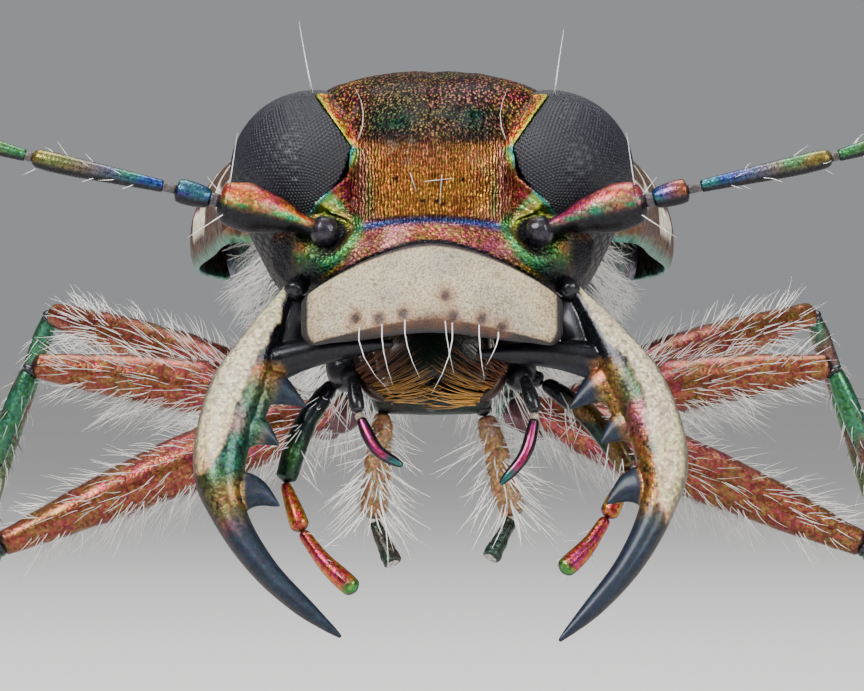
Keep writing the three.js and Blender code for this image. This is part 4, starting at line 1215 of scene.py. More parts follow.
def mouth_side(name, s, tufts):
    palp = {key: [face(s * p[0], p[1], p[2]) for p in line] for key, line in PALPS[name].items()}
    labial, maxillary, galea = palp["labial"], palp["maxillary"], palp["galea"]
    shape = Shape()
    # Labial palp: a short dark root, a long spiny brown segment and a dark green end segment
    knob = [face(s * 0.5, -2.38, 0.44), labial[0]]
    limb(shape, knob, [[0, 0.1], [1, 0.085]], BLACK, skin=BLACK_SKIN)
    stalk_radii = [[0, 0.08], [0.12, 0.11], [0.75, 0.135], [0.95, 0.125], [1, 0.085]]

    def stalk_paint(t, a, p):
        colour = plain((0.34, 0.155, 0.06), len(p))
        colour = mixed(colour, (0.46, 0.33, 0.22), smooth(0.0, 0.8, noise(p, 6, 71)) * 0.7)
        colour = mixed(colour, (0.16, 0.06, 0.02), smooth(0.1, 0.7, noise(p, 9, 70)) * 0.8)
        return mixed(colour, (0.05, 0.02, 0.01), np.maximum(smooth(0.96, 1.0, t), smooth(0.05, 0, t)))

    stalk = limb(shape, labial[:2], stalk_radii, stalk_paint, 40, 90,
                 relief=rippled(0.02, 11, 72), skin=(0.0, 0.42, 0.9, 0))
    end_line = Line(labial[1:])
    limb(shape, [labial[1], end_line.at(0.12)], 0.07, (0.5, 0.44, 0.36), skin=SOFT, steps=12)
    tip_line = end_line.part(0.03, 1.0)
    limb(shape, tip_line, [[0, 0.055], [0.3, 0.068], [0.8, 0.092], [0.95, 0.098], [1, 0.088]],
         shaded((0.016, 0.03, 0.018), (0.02, 0.05, 0.03), (0.05, 0.03, 0.02), 73, 0.03), 32, 60,
         relief=rippled(0.01, 16, 78), skin=(0.5, 0.35, 0.9, 0), cap=0.3)
    ring = tip_line.part(0.975, 1.0)
    limb(shape, ring, 0.07, (0.5, 0.47, 0.4), steps=16, skin=(0, 0.4, 1.0, 0), cap=0.12)
    # Maxilla: stem, first part of the galea, and the claw-like galea with a magenta stripe
    stem = [face(s * 0.78, -1.2, 0.1), face(s * 0.9, -2.12, 0.56), galea[0]]
    limb(shape, stem, [[0, 0.22], [0.7, 0.2], [1, 0.1]], BLACK, skin=(0.2, 0.4, 0.4, 0))
    limb(shape, galea[:2], [[0, 0.06], [0.7, 0.08], [1, 0.06]], BLACK, skin=BLACK_SKIN)
    claw_line = Line(galea[1:])
    limb(shape, [galea[1], claw_line.at(0.1)], 0.05, (0.30, 0.25, 0.19), steps=12, skin=SOFT)
    hook = claw_line.part(0.08, 1.0)
    hook_radii = [[0, 0.05], [0.3, 0.068], [0.8, 0.056], [0.95, 0.035], [1, 0.02]]

    def hook_paint(t, a, p):
        stripe = smooth(0.72, 0.96, ahead(hook, hook_radii, t, p)) * smooth(0.0, 0.15, t)
        colour = mixed(plain(BLACK, len(p)), (0.26, 0.01, 0.10), stripe * smooth(0.95, 0.7, t))
        return mixed(colour, (0.01, 0.10, 0.09), stripe * smooth(0.65, 0.85, t))

    limb(shape, hook, hook_radii, hook_paint, 32, 70, skin=(0.6, 0.25, 0.1, 0))
    # Maxillary palp: a short root, a long dark segment, then a waisted and a full one with red stripes
    root = [face(s * 0.95, -2.12, 0.48), maxillary[0]]
    limb(shape, root, 0.085, BLACK, skin=BLACK_SKIN)
    first = Line(maxillary[:3])
    long_radii = [[0, 0.065], [0.2, 0.1], [0.8, 0.122], [0.95, 0.11], [1, 0.07]]
    patch = (0.04, 0.14, 0.03) if s < 0 else (0.16, 0.08, 0.02)
    limb(shape, first, long_radii, shaded((0.010, 0.010, 0.016), (0.012, 0.035, 0.02), patch, 74 + s),
         32, 80, relief=rippled(0.008, 9, 75), cap=0.95)
    waist = Line(maxillary[2:4])
    waist_radii = [[0, 0.05], [0.25, 0.07], [0.85, 0.1], [1, 0.075]]
    waist_paint = striped(waist, waist_radii, (0.36, 0.05, 0.02), (0.45, 0.19, 0.02), (0.30, 0.05, 0.03))
    limb(shape, waist, waist_radii, waist_paint, 32, 60, cap=0.9)
    bent = (maxillary[3] + maxillary[4]) / 2 + np.array([s * 0.03, 0, -0.02])
    full = Line([maxillary[3], bent, maxillary[4]])
    full_radii = [[0, 0.06], [0.3, 0.075], [0.8, 0.105], [0.95, 0.1], [1, 0.085]]
    full_paint = striped(full, full_radii, (0.30, 0.015, 0.045), (0.48, 0.12, 0.02), (0.05, 0.24, 0.04))
    limb(shape, full, full_radii, full_paint, 32, 70, cap=0.95)
    shape.build(
        f"mouthparts_{name}", LIMB, "dark_cuticle",
        [f"labial_palp_{name}_1", f"labial_palp_{name}_2", f"maxilla_{name}", f"galea_{name}"]
        + [f"maxillary_palp_{name}_{k}" for k in (1, 2, 3)],
    )
    # Long white hairs stand all round the brown segment, fewer on the long palp.
    row = 0 if s > 0 else 1
    tube_hairs(tufts, stalk, stalk_radii, 62, 0.5, 0.009, WHITE, (0, row), (0.03, 0.75),
               lean=0.35, curl=0.03, droop=0.15)
    tube_hairs(tufts, stalk, stalk_radii, 70, 0.62, 0.0105, WHITE, (0, row), (0.45, 0.97),
               lean=0.9, curl=0.03, droop=0.2)
    tube_hairs(tufts, first, long_radii, 30, 0.42, 0.008, WHITE, (1, row), (0.1, 0.95),
               lean=0.35, curl=0.03, droop=0.3)
    tube_hairs(tufts, full, 0.09, 7, 0.2, 0.0055, WHITE, (2, row))
    # Stiff bristles comb inwards from the maxilla, red-brown above and golden below.
    count = 72
    q = RANDOM.uniform(0, 1, count)
    roots = face(s * (0.80 - 0.36 * q), -2.06 - 0.36 * q + RANDOM.uniform(-0.03, 0.03, count),
                 RANDOM.uniform(0.78, 0.98, count))
    rise = 0.78 - 1.1 * q + RANDOM.normal(0, 0.15, count)
    aim = np.stack([-s * np.cos(rise), RANDOM.uniform(-0.3, 0.1, count), np.sin(rise)], -1)
    bend = np.stack(np.broadcast_arrays(0.04 * s, -0.1, 0.10 + 0.16 * q), -1)
    tint = mixed(plain(AMBER, count), (0.16, 0.045, 0.012), smooth(0.75, 0.3, q))
    tint = tint * RANDOM.uniform(0.25, 1.0, (count, 1))
    uv = np.stack([3 + q, 0.2 + 0.5 * (s > 0) + RANDOM.uniform(0, 0.3, count)], -1) / MAP_TILES
    hairs(tufts, roots, aim, RANDOM.uniform(0.42, 0.7, count), 0.0085, bend, uv, tint)
    # The stem that carries them
    lacinia = Shape()
    carrier = [face(s * 0.72, -1.9, 0.6), face(s * 0.62, -2.25, 0.78), face(s * 0.4, -2.42, 0.85)]
    limb(lacinia, carrier, [[0, 0.12], [0.6, 0.1], [1, 0.03]], (0.03, 0.012, 0.008), skin=(0.3, 0.3, 0.3, 0))
    lacinia.build(f"lacinia_{name}", LIMB, "dark_cuticle")


# Antennae

SCAPE_END = (2.2, -0.34, 1.12)
PEDICEL_END = (2.72, -0.2, 1.12)
FEELER = (PEDICEL_END, (4.3, 0.16, 1.02), (5.3, 0.5, 0.75), (6.35, 0.95, 0.2), (7.3, 1.35, -0.6),
          (7.95, 1.55, -1.6), (8.2, 1.6, -2.7), (8.1, 1.55, -3.6))
FEELER_JOINTS = (0, 0.17, 0.28, 0.39, 0.5, 0.6, 0.7, 0.8, 0.9, 1)
FEELER_COLOURS = (  # of the first two segments, which shine. The others are dull and downy.
    ((0.015, 0.05, 0.22), (0.22, 0.16, 0.03), (0.03, 0.22, 0.08)),
    ((0.04, 0.20, 0.06), (0.28, 0.07, 0.02), (0.02, 0.06, 0.2)),
)


def antenna(name, s, tufts):
    shape = Shape()
    bulb = face(s * BULB[0], BULB[1], BULB[2])
    scape_end = face(s * SCAPE_END[0], SCAPE_END[1], SCAPE_END[2])
    pedicel_end = face(s * PEDICEL_END[0], PEDICEL_END[1], PEDICEL_END[2])
    axis = unit(scape_end - bulb)
    ball = Line([bulb - axis * 0.155, bulb + axis * 0.155])
    limb(shape, ball, [[0, 0.10], [0.25, 0.15], [0.5, 0.16], [0.75, 0.15], [1, 0.1]], (0.02, 0.016, 0.024),
         skin=(0.3, 0.25, 0.5, 0), steps=30, cap=1.0)
    warm, cool = ((0.46, 0.05, 0.02), GREEN) if s < 0 else ((0.32, 0.025, 0.08), (0.03, 0.26, 0.12))

    def scape_paint(t, a, p):
        over = np.sin(a)
        colour = mixed(plain(warm, len(p)), MAGENTA, smooth(0.0, 0.8, noise(p, 4, 81)) * 0.7)
        colour = mixed(colour, (0.56, 0.15, 0.02), bump(t, 0.75, 0.2) * 0.6)
        streaks = smooth(-0.2, 0.6, noise(p * [2, 1, 9], 4, 82))
        colour = mixed(colour, cool, smooth(0.5, 0.2, over) * (0.3 + 0.7 * streaks))
        # The lower side is painted black as painted shade.
        colour = mixed(colour, BLACK, smooth(0.1, -0.25, over))
        colour = mixed(colour, BLACK, smooth(0.75, 0.95, over) * smooth(0.85, 0.6, t))
        colour = mixed(colour, BLACK, np.maximum(smooth(0.2, 0.08, t), smooth(0.985, 1.0, t)) * 0.85)
        return mixed(colour, BLACK, bump(t, 0.925, 0.008) * 0.8)

    scape = Line([bulb, (bulb + scape_end) / 2 + np.array([0, 0, 0.03]), scape_end])
    scape_radii = [[0, 0.085], [0.16, 0.09], [0.4, 0.18], [0.72, 0.25], [0.9, 0.22], [0.93, 0.21],
                   [1, 0.16]]
    limb(shape, scape, scape_radii, scape_paint, 40, 90, relief=rippled(0.008, 8, 83),
         skin=(0.8, 0.42, 0.6, 0), cap=0.35)
    joint = Line([scape_end - axis * 0.03, scape_end + (pedicel_end - scape_end) * 0.2])
    limb(shape, joint, 0.075, (0.05, 0.04, 0.05), steps=14, skin=SOFT)
    pedicel = Line([scape_end, pedicel_end]).part(0.12, 0.84)
    # The pedicel's underside is painted black as painted shade.
    limb(shape, pedicel, [[0, 0.085], [0.25, 0.115], [0.7, 0.13], [0.92, 0.12], [1, 0.09]],
         shaded((0.02, 0.045, 0.20), (0.04, 0.03, 0.22) if s < 0 else (0.30, 0.09, 0.04),
                (0.03, 0.16, 0.13), 84, 0.06, BLACK), 32, 50, cap=0.4)
    feeler = Line([face(s * x, up, out) for x, up, out in FEELER])
    stalk = Line([pedicel_end - (pedicel_end - scape_end) * 0.2, feeler.at(0.008)])
    limb(shape, stalk, 0.05, (0.05, 0.04, 0.04), steps=14, skin=SOFT)
    for k, (start, end) in enumerate(zip(FEELER_JOINTS, FEELER_JOINTS[1:])):
        thick = 0.105 - 0.0035 * k
        # The first two segments get an underside painted black as painted shade.
        if k < len(FEELER_COLOURS):
            colours, under, skin = FEELER_COLOURS[k], BLACK, METAL
            down = (9, 0.16, 0.0055, WHITE)
        else:
            colours, under, skin = ((0.05, 0.04, 0.035),) * 3, None, (0.1, 0.55, 0.7, 0)
            down = (60, 0.07, 0.0035, (0.5, 0.46, 0.38))
        piece = feeler.part(start + 0.004, end - 0.003)
        radii = [[0, thick * 0.6], [0.2, thick * 0.72], [0.85, thick], [0.95, thick * 0.94],
                 [1, thick * (0.6 if k < 8 else 0.4)]]
        limb(shape, piece, radii, shaded(*colours, 85 + k, 0.02, under), 24, 44, cap=0.4, skin=skin)
        if k:
            joint = feeler.part(start - 0.006, start + 0.008, 4)
            limb(shape, joint, thick * 0.5, (0.06, 0.05, 0.04), 16, 8, skin=SOFT)
        tube_hairs(tufts, piece, radii, *down, (k % 8, 2 + (s > 0)), (0.15, 0.97), lean=1.2, curl=0.1)
    shape.build(f"feeler_{name}", LIMB, "copper_cuticle",
                [f"antenna_{name}_{part}" for part in ("scape", "pedicel", "flagellum_1", "flagellum_2")])


# Trunk: rings that follow stops along the back, as the solid's do

PROTHORAX_LENGTH = 2.75
PROTHORAX = {
    "half": [[0, 1.22], [0.3, 1.36], [0.5, 1.4], [1.3, 1.58], [2.2, 1.46], [2.4, 1.36], [2.75, 1.3]],
    "top": [[0, 0.86], [0.25, 0.98], [0.5, 0.94], [1.3, 1.16], [2.2, 1.04], [2.4, 0.94], [2.75, 0.92]],
    "bottom": [[0, 0.8], [1.3, 1.2], [2.75, 0.95]],
}
SHOULDER = 3.05
TAIL = 12.3
CASE_THICKNESS = 0.34
GAP = 0.08
HIND = {
    "half": [[2.9, 1.15], [3.2, 1.9], [3.7, 2.34], [5.5, 2.52], [8.8, 2.82], [10.8, 2.4], [11.8, 1.45],
             [12.3, 0.3]],
    "top": [[2.9, 0.75], [3.3, 0.98], [4.5, 1.28], [7, 1.42], [9.5, 1.25], [11.4, 0.72], [12.3, 0.12]],
    "bottom": [[2.9, 0.9], [3.8, 1.45], [5.8, 1.65], [8.5, 1.35], [11, 0.75], [12.3, 0.15]],
}
CORE = {
    "half": [[at, max(0.1, value - CASE_THICKNESS - GAP)] for at, value in HIND["half"]],
    "top": [[at, max(0.1, value - CASE_THICKNESS - GAP)] for at, value in HIND["top"]],
    "bottom": HIND["bottom"],
}
SECTION_POWER = 2.3


def section(size, back, turn, scale=1.0):
    cosine, sine = np.cos(turn), np.sin(turn)
    across = np.sign(cosine) * np.abs(cosine) ** (2 / SECTION_POWER)
    over = np.sign(sine) * np.abs(sine) ** (2 / SECTION_POWER)
    tall = np.where(over > 0, along(size["top"], back), along(size["bottom"], back))
    return trunk(across * along(size["half"], back) * scale, back, over * tall * scale)


# A closed barrel from one place along the back to another
def barrel(size, start, end, sides, steps, relief, scale=1.0):
    t = np.linspace(0, 1, steps)
    back = start + (end - start) * (0.5 - 0.5 * np.cos(np.pi * t))
    turn = np.linspace(0, 2 * np.pi, sides, endpoint=False)
    grid_b = np.repeat(back, sides)
    grid_a = np.tile(turn, steps)
    points = section(size, grid_b, grid_a, scale)
    axis = trunk(0.0, grid_b, 0.0)
    points = points + unit(points - axis) * relief(grid_b, grid_a, points)[:, None]
    k = np.arange(steps - 1)[:, None] * sides
    i = np.arange(sides)[None]
    j = (i + 1) % sides
    quads = np.stack([k + i, k + sides + i, k + sides + j, k + j], -1).reshape(-1, 4)
    count = len(points)
    ring = np.arange(sides)
    after = (ring + 1) % sides
    last = (steps - 1) * sides
    caps = [np.stack([ring, after, np.full(sides, count)], -1),
            np.stack([last + after, last + ring, np.full(sides, count + 1)], -1)]
    points = np.vstack([points, trunk(0.0, np.array([start, end]), 0.0)])
    return points, [quads] + caps, np.append(grid_b, [start, end]), np.append(grid_a, [0, 0])


def prothorax_piece():
    def relief(b, a, p):
        over = np.sin(a)
        top = smooth(-0.1, 0.3, over)
        rise = -0.06 * (bump(b, 0.42, 0.09) + bump(b, 2.32, 0.09)) * (0.4 + 0.6 * top)
        rise -= 0.035 * bump(np.cos(a), 0, 0.04) * top * smooth(0.2, 0.5, b) * smooth(2.5, 2.2, b)
        rise += 0.02 * noise(p, 4, 91) + 0.016 * noise(p * [1, 2.4, 1], 7, 92) * top
        rise -= 0.03 * bump(over, -0.25, 0.05) * smooth(0.3, 0.5, b)
        edge = np.minimum(b, PROTHORAX_LENGTH - b)
        return rise - 0.08 * (1 - smooth(0, 0.12, edge))

    points, faces, b, a = barrel(PROTHORAX, 0, PROTHORAX_LENGTH, 240, 120, relief, 0.985)
    over = np.sin(a)
    tint = plain(COPPER, len(points)) * 0.75
    tint = mixed(tint, (0.28, 0.10, 0.10), smooth(0, 0.8, noise(points, 2.5, 93)))
    grooves = bump(b, 0.42, 0.14) + bump(b, 2.32, 0.14) + bump(np.cos(a), 0, 0.06) * smooth(0, 0.5, over)
    tint = mixed(tint, (0.04, 0.28, 0.22), np.clip(grooves, 0, 1) * 0.85)
    tint = mixed(tint, GREEN, smooth(0.1, -0.2, over) * 0.6)
    tint = mixed(tint, (0.35, 0.12, 0.05), smooth(-0.1, -0.5, over) * 0.7)
    shape = Shape()
    shape.add(points, faces, tint, (0.85, 0.36, 0.95, 0))
    shape.build("pronotum", BODY, "copper_cuticle", ["prothorax"])


BELLY_EDGES = (6.3, 7.5, 8.6, 9.6, 10.5, 11.3)  # where the rings of the abdomen meet


def underside_piece():
    def relief(b, a, p):
        over = np.sin(a)
        under = smooth(0.3, 0.0, over)
        rise = 0.015 * noise(p, 4, 101)
        for edge in BELLY_EDGES:
            rise = rise - 0.05 * bump(b, edge, 0.05) * under
            rise = rise + 0.03 * bump(b, edge - 0.16, 0.1) * under
        rise -= 0.04 * bump(b, 4.6, 0.06) * under
        rise -= 0.03 * bump(np.cos(a), 0, 0.03) * smooth(0, -0.5, over) * smooth(6.5, 6.0, b)
        return rise

    start, end = PROTHORAX_LENGTH - 0.35, TAIL - 0.2
    neck_end = {"half": 1.0, "top": 0.5, "bottom": 0.7}
    size = {key: [[start, value]] + CORE[key] for key, value in neck_end.items()}
    points, faces, b, _ = barrel(size, start, end, 180, 200, relief, 0.985)
    tint = plain((0.02, 0.12, 0.075), len(points))
    tint = mixed(tint, (0.008, 0.11, 0.11), smooth(0, 0.8, noise(points, 1.6, 103)))
    tint = mixed(tint, (0.20, 0.07, 0.035), smooth(0.0, 0.8, noise(points, 2.2, 104)) * 0.7)
    tint = mixed(tint, (0.16, 0.07, 0.26), smooth(6.5, 8.0, b) * 0.5)
    for edge in BELLY_EDGES:
        tint = mixed(tint, BLACK, bump(b, edge, 0.06) * 0.7)
    shape = Shape()
    shape.add(points, faces, tint, (0.85, 0.32, 0.6, 0))
    shape.build("underside", BODY, "green_cuticle", ["pterothorax", "abdomen"])


# Wing cases: u runs from the seam down to the side edge and v from the shoulder to the tail.

CASE_EDGE = 0.33
CASE_SHEET = 0.05  # half the sheet's thickness
# Cream marks: a hook at the shoulder, a streak at the side with a bent band from it, and a hook at the
# tail. Each has half its width, then its places back along the trunk and out from the seam.
CREAM_MARKS = (
    (0.15, (3.35, 2.1), (4.0, 2.45), (4.9, 2.35), (5.3, 1.95), (5.15, 1.65)),
    (0.15, (6.3, 2.75), (7.6, 2.85)),
    (0.14, (6.9, 2.7), (7.0, 1.7), (7.6, 1.25), (8.3, 0.95), (8.45, 0.65)),
    (0.15, (10.0, 1.85), (10.15, 2.2), (10.9, 2.05), (11.7, 1.35), (12.2, 0.3)),
)


def case_markings(back, out):
    wobble = 0.05 * noise(np.stack([back, out, np.zeros(len(back))], -1), 1.8, 111)
    places = np.stack([back, out], -1)
    marks = np.zeros(len(back))
    for width, *points in CREAM_MARKS:
        for start, end in zip(points, points[1:]):
            run = np.subtract(end, start)
            offset = places - start
            share = np.clip(offset @ run / (run @ run), 0, 1)
            gap = np.linalg.norm(offset - share[:, None] * run, axis=1)
            marks = np.maximum(marks, smooth(width + 0.05, width - 0.05, gap + wobble))
    return marks


def case_piece(name, s):
    def middle(u, v):
        back = SHOULDER + (TAIL - SHOULDER) * (v + 1) / 2
        low = -np.arcsin(np.clip(CASE_EDGE / along(HIND["bottom"], back), 0, 0.9) ** (SECTION_POWER / 2))
        points = section(HIND, back, np.pi / 2 + (low - np.pi / 2) * (u + 1) / 2, 0.99)
        points[..., 0] = np.maximum(points[..., 0], GAP / 4) * s
        return points

    points, faces, u, v, _ = pillow(110, 240, middle, CASE_SHEET)
    # The outer side is flush with the outline, so the whole sheet moves inwards by its half thickness.
    centre = middle(u, v)
    back = SHOULDER + (TAIL - SHOULDER) * (v + 1) / 2
    axis = trunk(0.0, back, 0.0)
    outside = (((points - centre) * (centre - axis)).sum(1) > 0) * 1.0
    points = points - unit(points - axis) * CASE_SHEET
    share = (u + 1) / 2
    arc = share * (along(HIND["half"], back) + 0.55)
    rise = 0.012 * noise(points, 2.5, 115) + 0.008 * noise(points, 7, 116)
    rise -= 0.03 * smooth(0.06, 0.0, share)
    rise += 0.02 * smooth(0.93, 0.97, share)
    rise -= 0.07 * np.exp(-(((back - 3.9) / 0.35) ** 2 + ((arc - 1.5) / 0.3) ** 2))
    points = points + unit(points - axis) * np.minimum(rise, 0.0)[:, None]
    marks = case_markings(back, arc)
    tint = plain((0.15, 0.075, 0.035), len(points))
    tint = mixed(tint, (0.17, 0.055, 0.03), smooth(0, 0.8, noise(points, 1.2, 117)))
    tint = mixed(tint, (0.03, 0.12, 0.07), smooth(0.2, 0.9, noise(points, 2.0, 118)) * 0.5)
    tint = mixed(tint, (0.03, 0.02, 0.015), (1 - outside) * 0.8)
    tint = mixed(tint, (0.45, 0.16, 0.06), smooth(0.07, 0.0, share) * 0.9)
    tint = mixed(tint, (0.05, 0.30, 0.20), smooth(0.94, 1.0, share) * 0.8)
    tint = mixed(tint, (0.80, 0.70, 0.52), marks)
    skin = np.stack(np.broadcast_arrays(0.8 * (1 - marks), 0.42, 0.9 - 0.5 * marks, 0.0), -1)
    shape = Shape()
    shape.add(points, faces, tint, skin)
    shape.build(f"wing_case_{name}", CASE, "bronze_cuticle", [f"elytron_{name}"])


def scutellum_piece():
    def middle(u, v):
        w = (v + 1) / 2
        half = 0.52 * (1 - w ** 1.4) + 0.01
        return trunk(u * half, 2.85 + w, along(HIND["top"], 2.85 + w) - 0.02 - 0.06 * u * u)

    points, faces, u, _, _ = pillow(40, 40, middle, 0.07)
    tint = mixed(plain(COPPER, len(points)) * 0.8, GREEN, smooth(0.6, 1.0, np.abs(u)) * 0.6)
    shape = Shape()
    shape.add(points, faces, tint, (0.85, 0.35, 0.8, 0))
    shape.build("shield", BODY, "copper_cuticle", ["scutellum"])


# Legs

LEGS = (  # pair, femur's thickness, hip, heel, knee, ankle and toe
    ("front", 0.37, (0.62, 2.65, 5.45), (0.8, 2.72, 4.4), (4.6, 1.9, 2.85),
     (6.2, 0.6, 0.5), (7.5, -1.3, 0.17)),
    ("middle", 0.36, (0.75, 5.15, 5.1), (1.0, 5.25, 4.2), (4.4, 5.0, 4.75),
     (6.0, 5.5, 0.5), (7.9, 7.0, 0.17)),
    ("hind", 0.38, (0.85, 7.15, 4.95), (1.3, 7.55, 4.15), (4.4, 10.0, 5.35),
     (6.0, 12.4, 0.5), (7.2, 15.2, 0.17)),
)
FOOT_JOINTS = (0, 0.34, 0.54, 0.69, 0.80, 1)
SPINE = (0.05, 0.03, 0.02)
FOOT_LIFT = 0.1


def leg(pair, thick, places, name, s, tufts, row):
    hip, heel, knee, ankle, toe = (np.array([s * x, y, z]) for x, y, z in places)
    shape = Shape()
    coxa = Line([hip + [0, 0, 0.25], (hip + heel) / 2, heel])
    coxa_radii = [[0, 0.47], [0.5, 0.44], [0.85, 0.34], [1, 0.22]]
    limb(shape, coxa, coxa_radii,
         shaded((0.14, 0.05, 0.035), (0.03, 0.12, 0.08), (0.26, 0.08, 0.05), 121), 48, 40,
         up=(0, 1, 0), relief=rippled(0.015, 5, 122))
    # The trochanter is a small lobe at the femur's root.
    run = unit(knee - heel)
    lobe = Line([heel - run * 0.02 + [0, 0, -0.1], heel + run * 0.42 + [0, 0, -0.12]])
    limb(shape, lobe, [[0, 0.15], [0.5, 0.19], [1, 0.1]], (0.10, 0.04, 0.05), 28, 24,
         skin=(0.5, 0.25, 0.2, 0))
    femur = Line([heel + run * 0.08, (heel + knee) / 2 + [0, 0, 0.06], knee])
    femur_radii = [[0, 0.12], [0.08, 0.17], [0.32, thick * 0.88], [0.68, thick * 0.7], [0.93, 0.16],
                   [1, 0.13]]
    limb(shape, femur, femur_radii,
         shaded((0.34, 0.06, 0.05), (0.24, 0.075, 0.03), (0.22, 0.09, 0.03), 123 + s, 0.03), 40, 110,
         relief=rippled(0.008, 7, 124))
    down = unit(ankle - knee)
    limb(shape, [knee - run * 0.03, knee + down * 0.1], 0.11, BLACK, 20, 14, skin=BLACK_SKIN)
    shin = Line([knee + down * 0.04, (knee + ankle) / 2 + run * 0.05, ankle])
    shin_radii = [[0, 0.085], [0.06, 0.12], [0.5, 0.115], [0.93, 0.145], [1, 0.1]]
    limb(shape, shin, shin_radii,
         shaded((0.04, 0.18, 0.09), (0.28, 0.09, 0.03), (0.22, 0.05, 0.06), 125 + s, 0.02), 28, 80,
         up=(0, 1, 0), relief=rippled(0.005, 8, 126))
    forward = unit((toe - ankle) * [1, 1, 0])
    sideways = np.array([-forward[1], forward[0], 0])
    for turn in (-1, 1):
        spur = Line([ankle - down * 0.16 + sideways * turn * 0.05,
                     ankle + down * 0.1 + sideways * turn * 0.2 - forward * 0.1])
        limb(shape, spur, [[0, 0.032], [1, 0.005]], SPINE, 12, 12, skin=BLACK_SKIN)
    # Five tarsomeres lie on the floor.
    landed = ankle + (toe - ankle) * 0.28
    landed[2] = FOOT_LIFT
    end = toe * [1, 1, 0] + [0, 0, FOOT_LIFT]
    sole = Line([ankle + down * 0.02, landed, (landed + end) / 2, end])
    for k, (start, stop) in enumerate(zip(FOOT_JOINTS, FOOT_JOINTS[1:])):
        width = 0.094 - 0.006 * k
        bit = sole.part(start + 0.006, stop - 0.004)
        limb(shape, bit, [[0, width * 0.55], [0.25, width * 0.75], [0.85, width], [1, width * 0.7]],
             shaded((0.05, 0.22, 0.14), (0.22, 0.10, 0.05), (0.04, 0.10, 0.20), 127 + k, 0.05), 18, 24)
        tube_hairs(tufts, bit, width, 10, 0.12, 0.006, SPINE, (k, row), (0.6, 0.98), lean=1.0, curl=0.0,
                   turns=(np.pi, 2 * np.pi))
    for turn in (-1, 1):
        claw = Line([end, end + forward * 0.2 + sideways * turn * 0.12 + [0, 0, 0.03],
                     end + forward * 0.42 + sideways * turn * 0.18 - [0, 0, FOOT_LIFT - 0.015]])
        limb(shape, claw, [[0, 0.035], [0.5, 0.028], [1, 0.006]], (0.08, 0.03, 0.015), 12, 24,
             skin=BLACK_SKIN)
    shape.build(f"leg_{pair}_{name}_skin", LIMB, "copper_cuticle",
                [f"leg_{pair}_{name}_{part}" for part in ("coxa", "femur", "tibia", "tarsus")])
    # White hairs: dense on the coxa and femur, fewer on the tibia, with dark spines
    tube_hairs(tufts, coxa, coxa_radii, 420, 0.5, 0.0065, WHITE, (5, row), (0.2, 0.98), lean=0.9,
               up=(0, 1, 0))
    tube_hairs(tufts, femur, femur_radii, 420, 0.36, 0.0055, WHITE, (6, row), (0.06, 0.92), lean=0.9)
    tube_hairs(tufts, femur, femur_radii, 220, 0.5, 0.0055, WHITE, (6, row), (0.06, 0.7), lean=0.6,
               turns=(np.pi * 1.2, np.pi * 1.8))
    tube_hairs(tufts, shin, shin_radii, 90, 0.22, 0.005, WHITE, (7, row), (0.05, 0.95), lean=1.0)
    tube_hairs(tufts, shin, shin_radii, 34, 0.24, 0.011, SPINE, (7, row), (0.1, 0.97), lean=1.1, curl=0.0)


# Hairs of the head and trunk

BROW_HAIRS = (  # root and tip in face coordinates, thickness and bend
    ((-1.24, 0.80, 0.25), (-1.37, 1.5, 0.45), 0.010, (0.02, 0, 0.05)),
    ((1.27, 0.78, 0.25), (1.36, 1.41, 0.45), 0.010, (0.03, 0, 0.05)),
    ((-0.76, 0.30, 0.82), (-0.77, 0.88, 1.0), 0.0065, (-0.45, 0, 0)),
    ((0.76, 0.30, 0.82), (0.75, 0.86, 1.0), 0.0065, (0.45, 0, 0)),
    ((-0.29, 0.15, 1.02), (-0.16, -0.25, 1.3), 0.006, (0, 0, 0)),
    ((-0.16, -0.15, 1.12), (0.23, -0.11, 1.35), 0.006, (0, 0, 0)),
    ((0.11, 0.10, 1.06), (0.08, -0.37, 1.35), 0.006, (0, 0, 0)),
)
FEELER_HAIRS = (  # root and tip in face coordinates
    ((2.08, -0.2, 1.2), (1.99, 0.35, 1.5)),
    ((2.05, -0.42, 1.2), (2.5, -0.72, 1.5)),
    ((2.16, -0.28, 1.22), (2.3, -0.1, 1.5)),
    ((3.4, -0.08, 1.05), (3.6, -0.15, 1.3)),
    ((3.0, -0.15, 1.05), (3.18, -0.22, 1.3)),
)


def head_hairs(tufts):
    for root, tip, thick, bend in BROW_HAIRS:
        a, b = face(*root), face(*tip)
        uv = np.array([[0.5 + root[0] / 12, 0.55 + root[1] / 12]])
        size = np.linalg.norm(b - a)
        curve = np.array([bend])
        hairs(tufts, a[None], (b - a)[None] / size - curve, size, thick, curve, uv, WHITE)
    # The lip's curved hairs hang from its spots.
    for place, down, across, up in LIP_PITS:
        root = lip_place(np.array([place]), np.array([down]), LIP_THICKNESS / 2)
        size = math.hypot(across, up)
        aim = np.array([[-across * 0.5, -0.55, up * 1.2]])
        bend = np.array([[across, 0.0, up]]) / size - unit(aim)
        bend[0, 1] = 0.45
        uv = np.array([[0.4 + place / 12, 0.45 - down / 12]])
        hairs(tufts, root, aim, size, 0.0095, bend, uv, WHITE)
    for _, s in SIDES:
        for root, tip in FEELER_HAIRS:
            a, b = face(s * root[0], root[1], root[2]), face(s * tip[0], tip[1], tip[2])
            uv = np.array([[0.5 + s * root[0] / 12, 0.5 + root[1] / 12]])
            hairs(tufts, a[None], (b - a)[None], np.linalg.norm(b - a), 0.008, np.zeros((1, 3)), uv, WHITE)


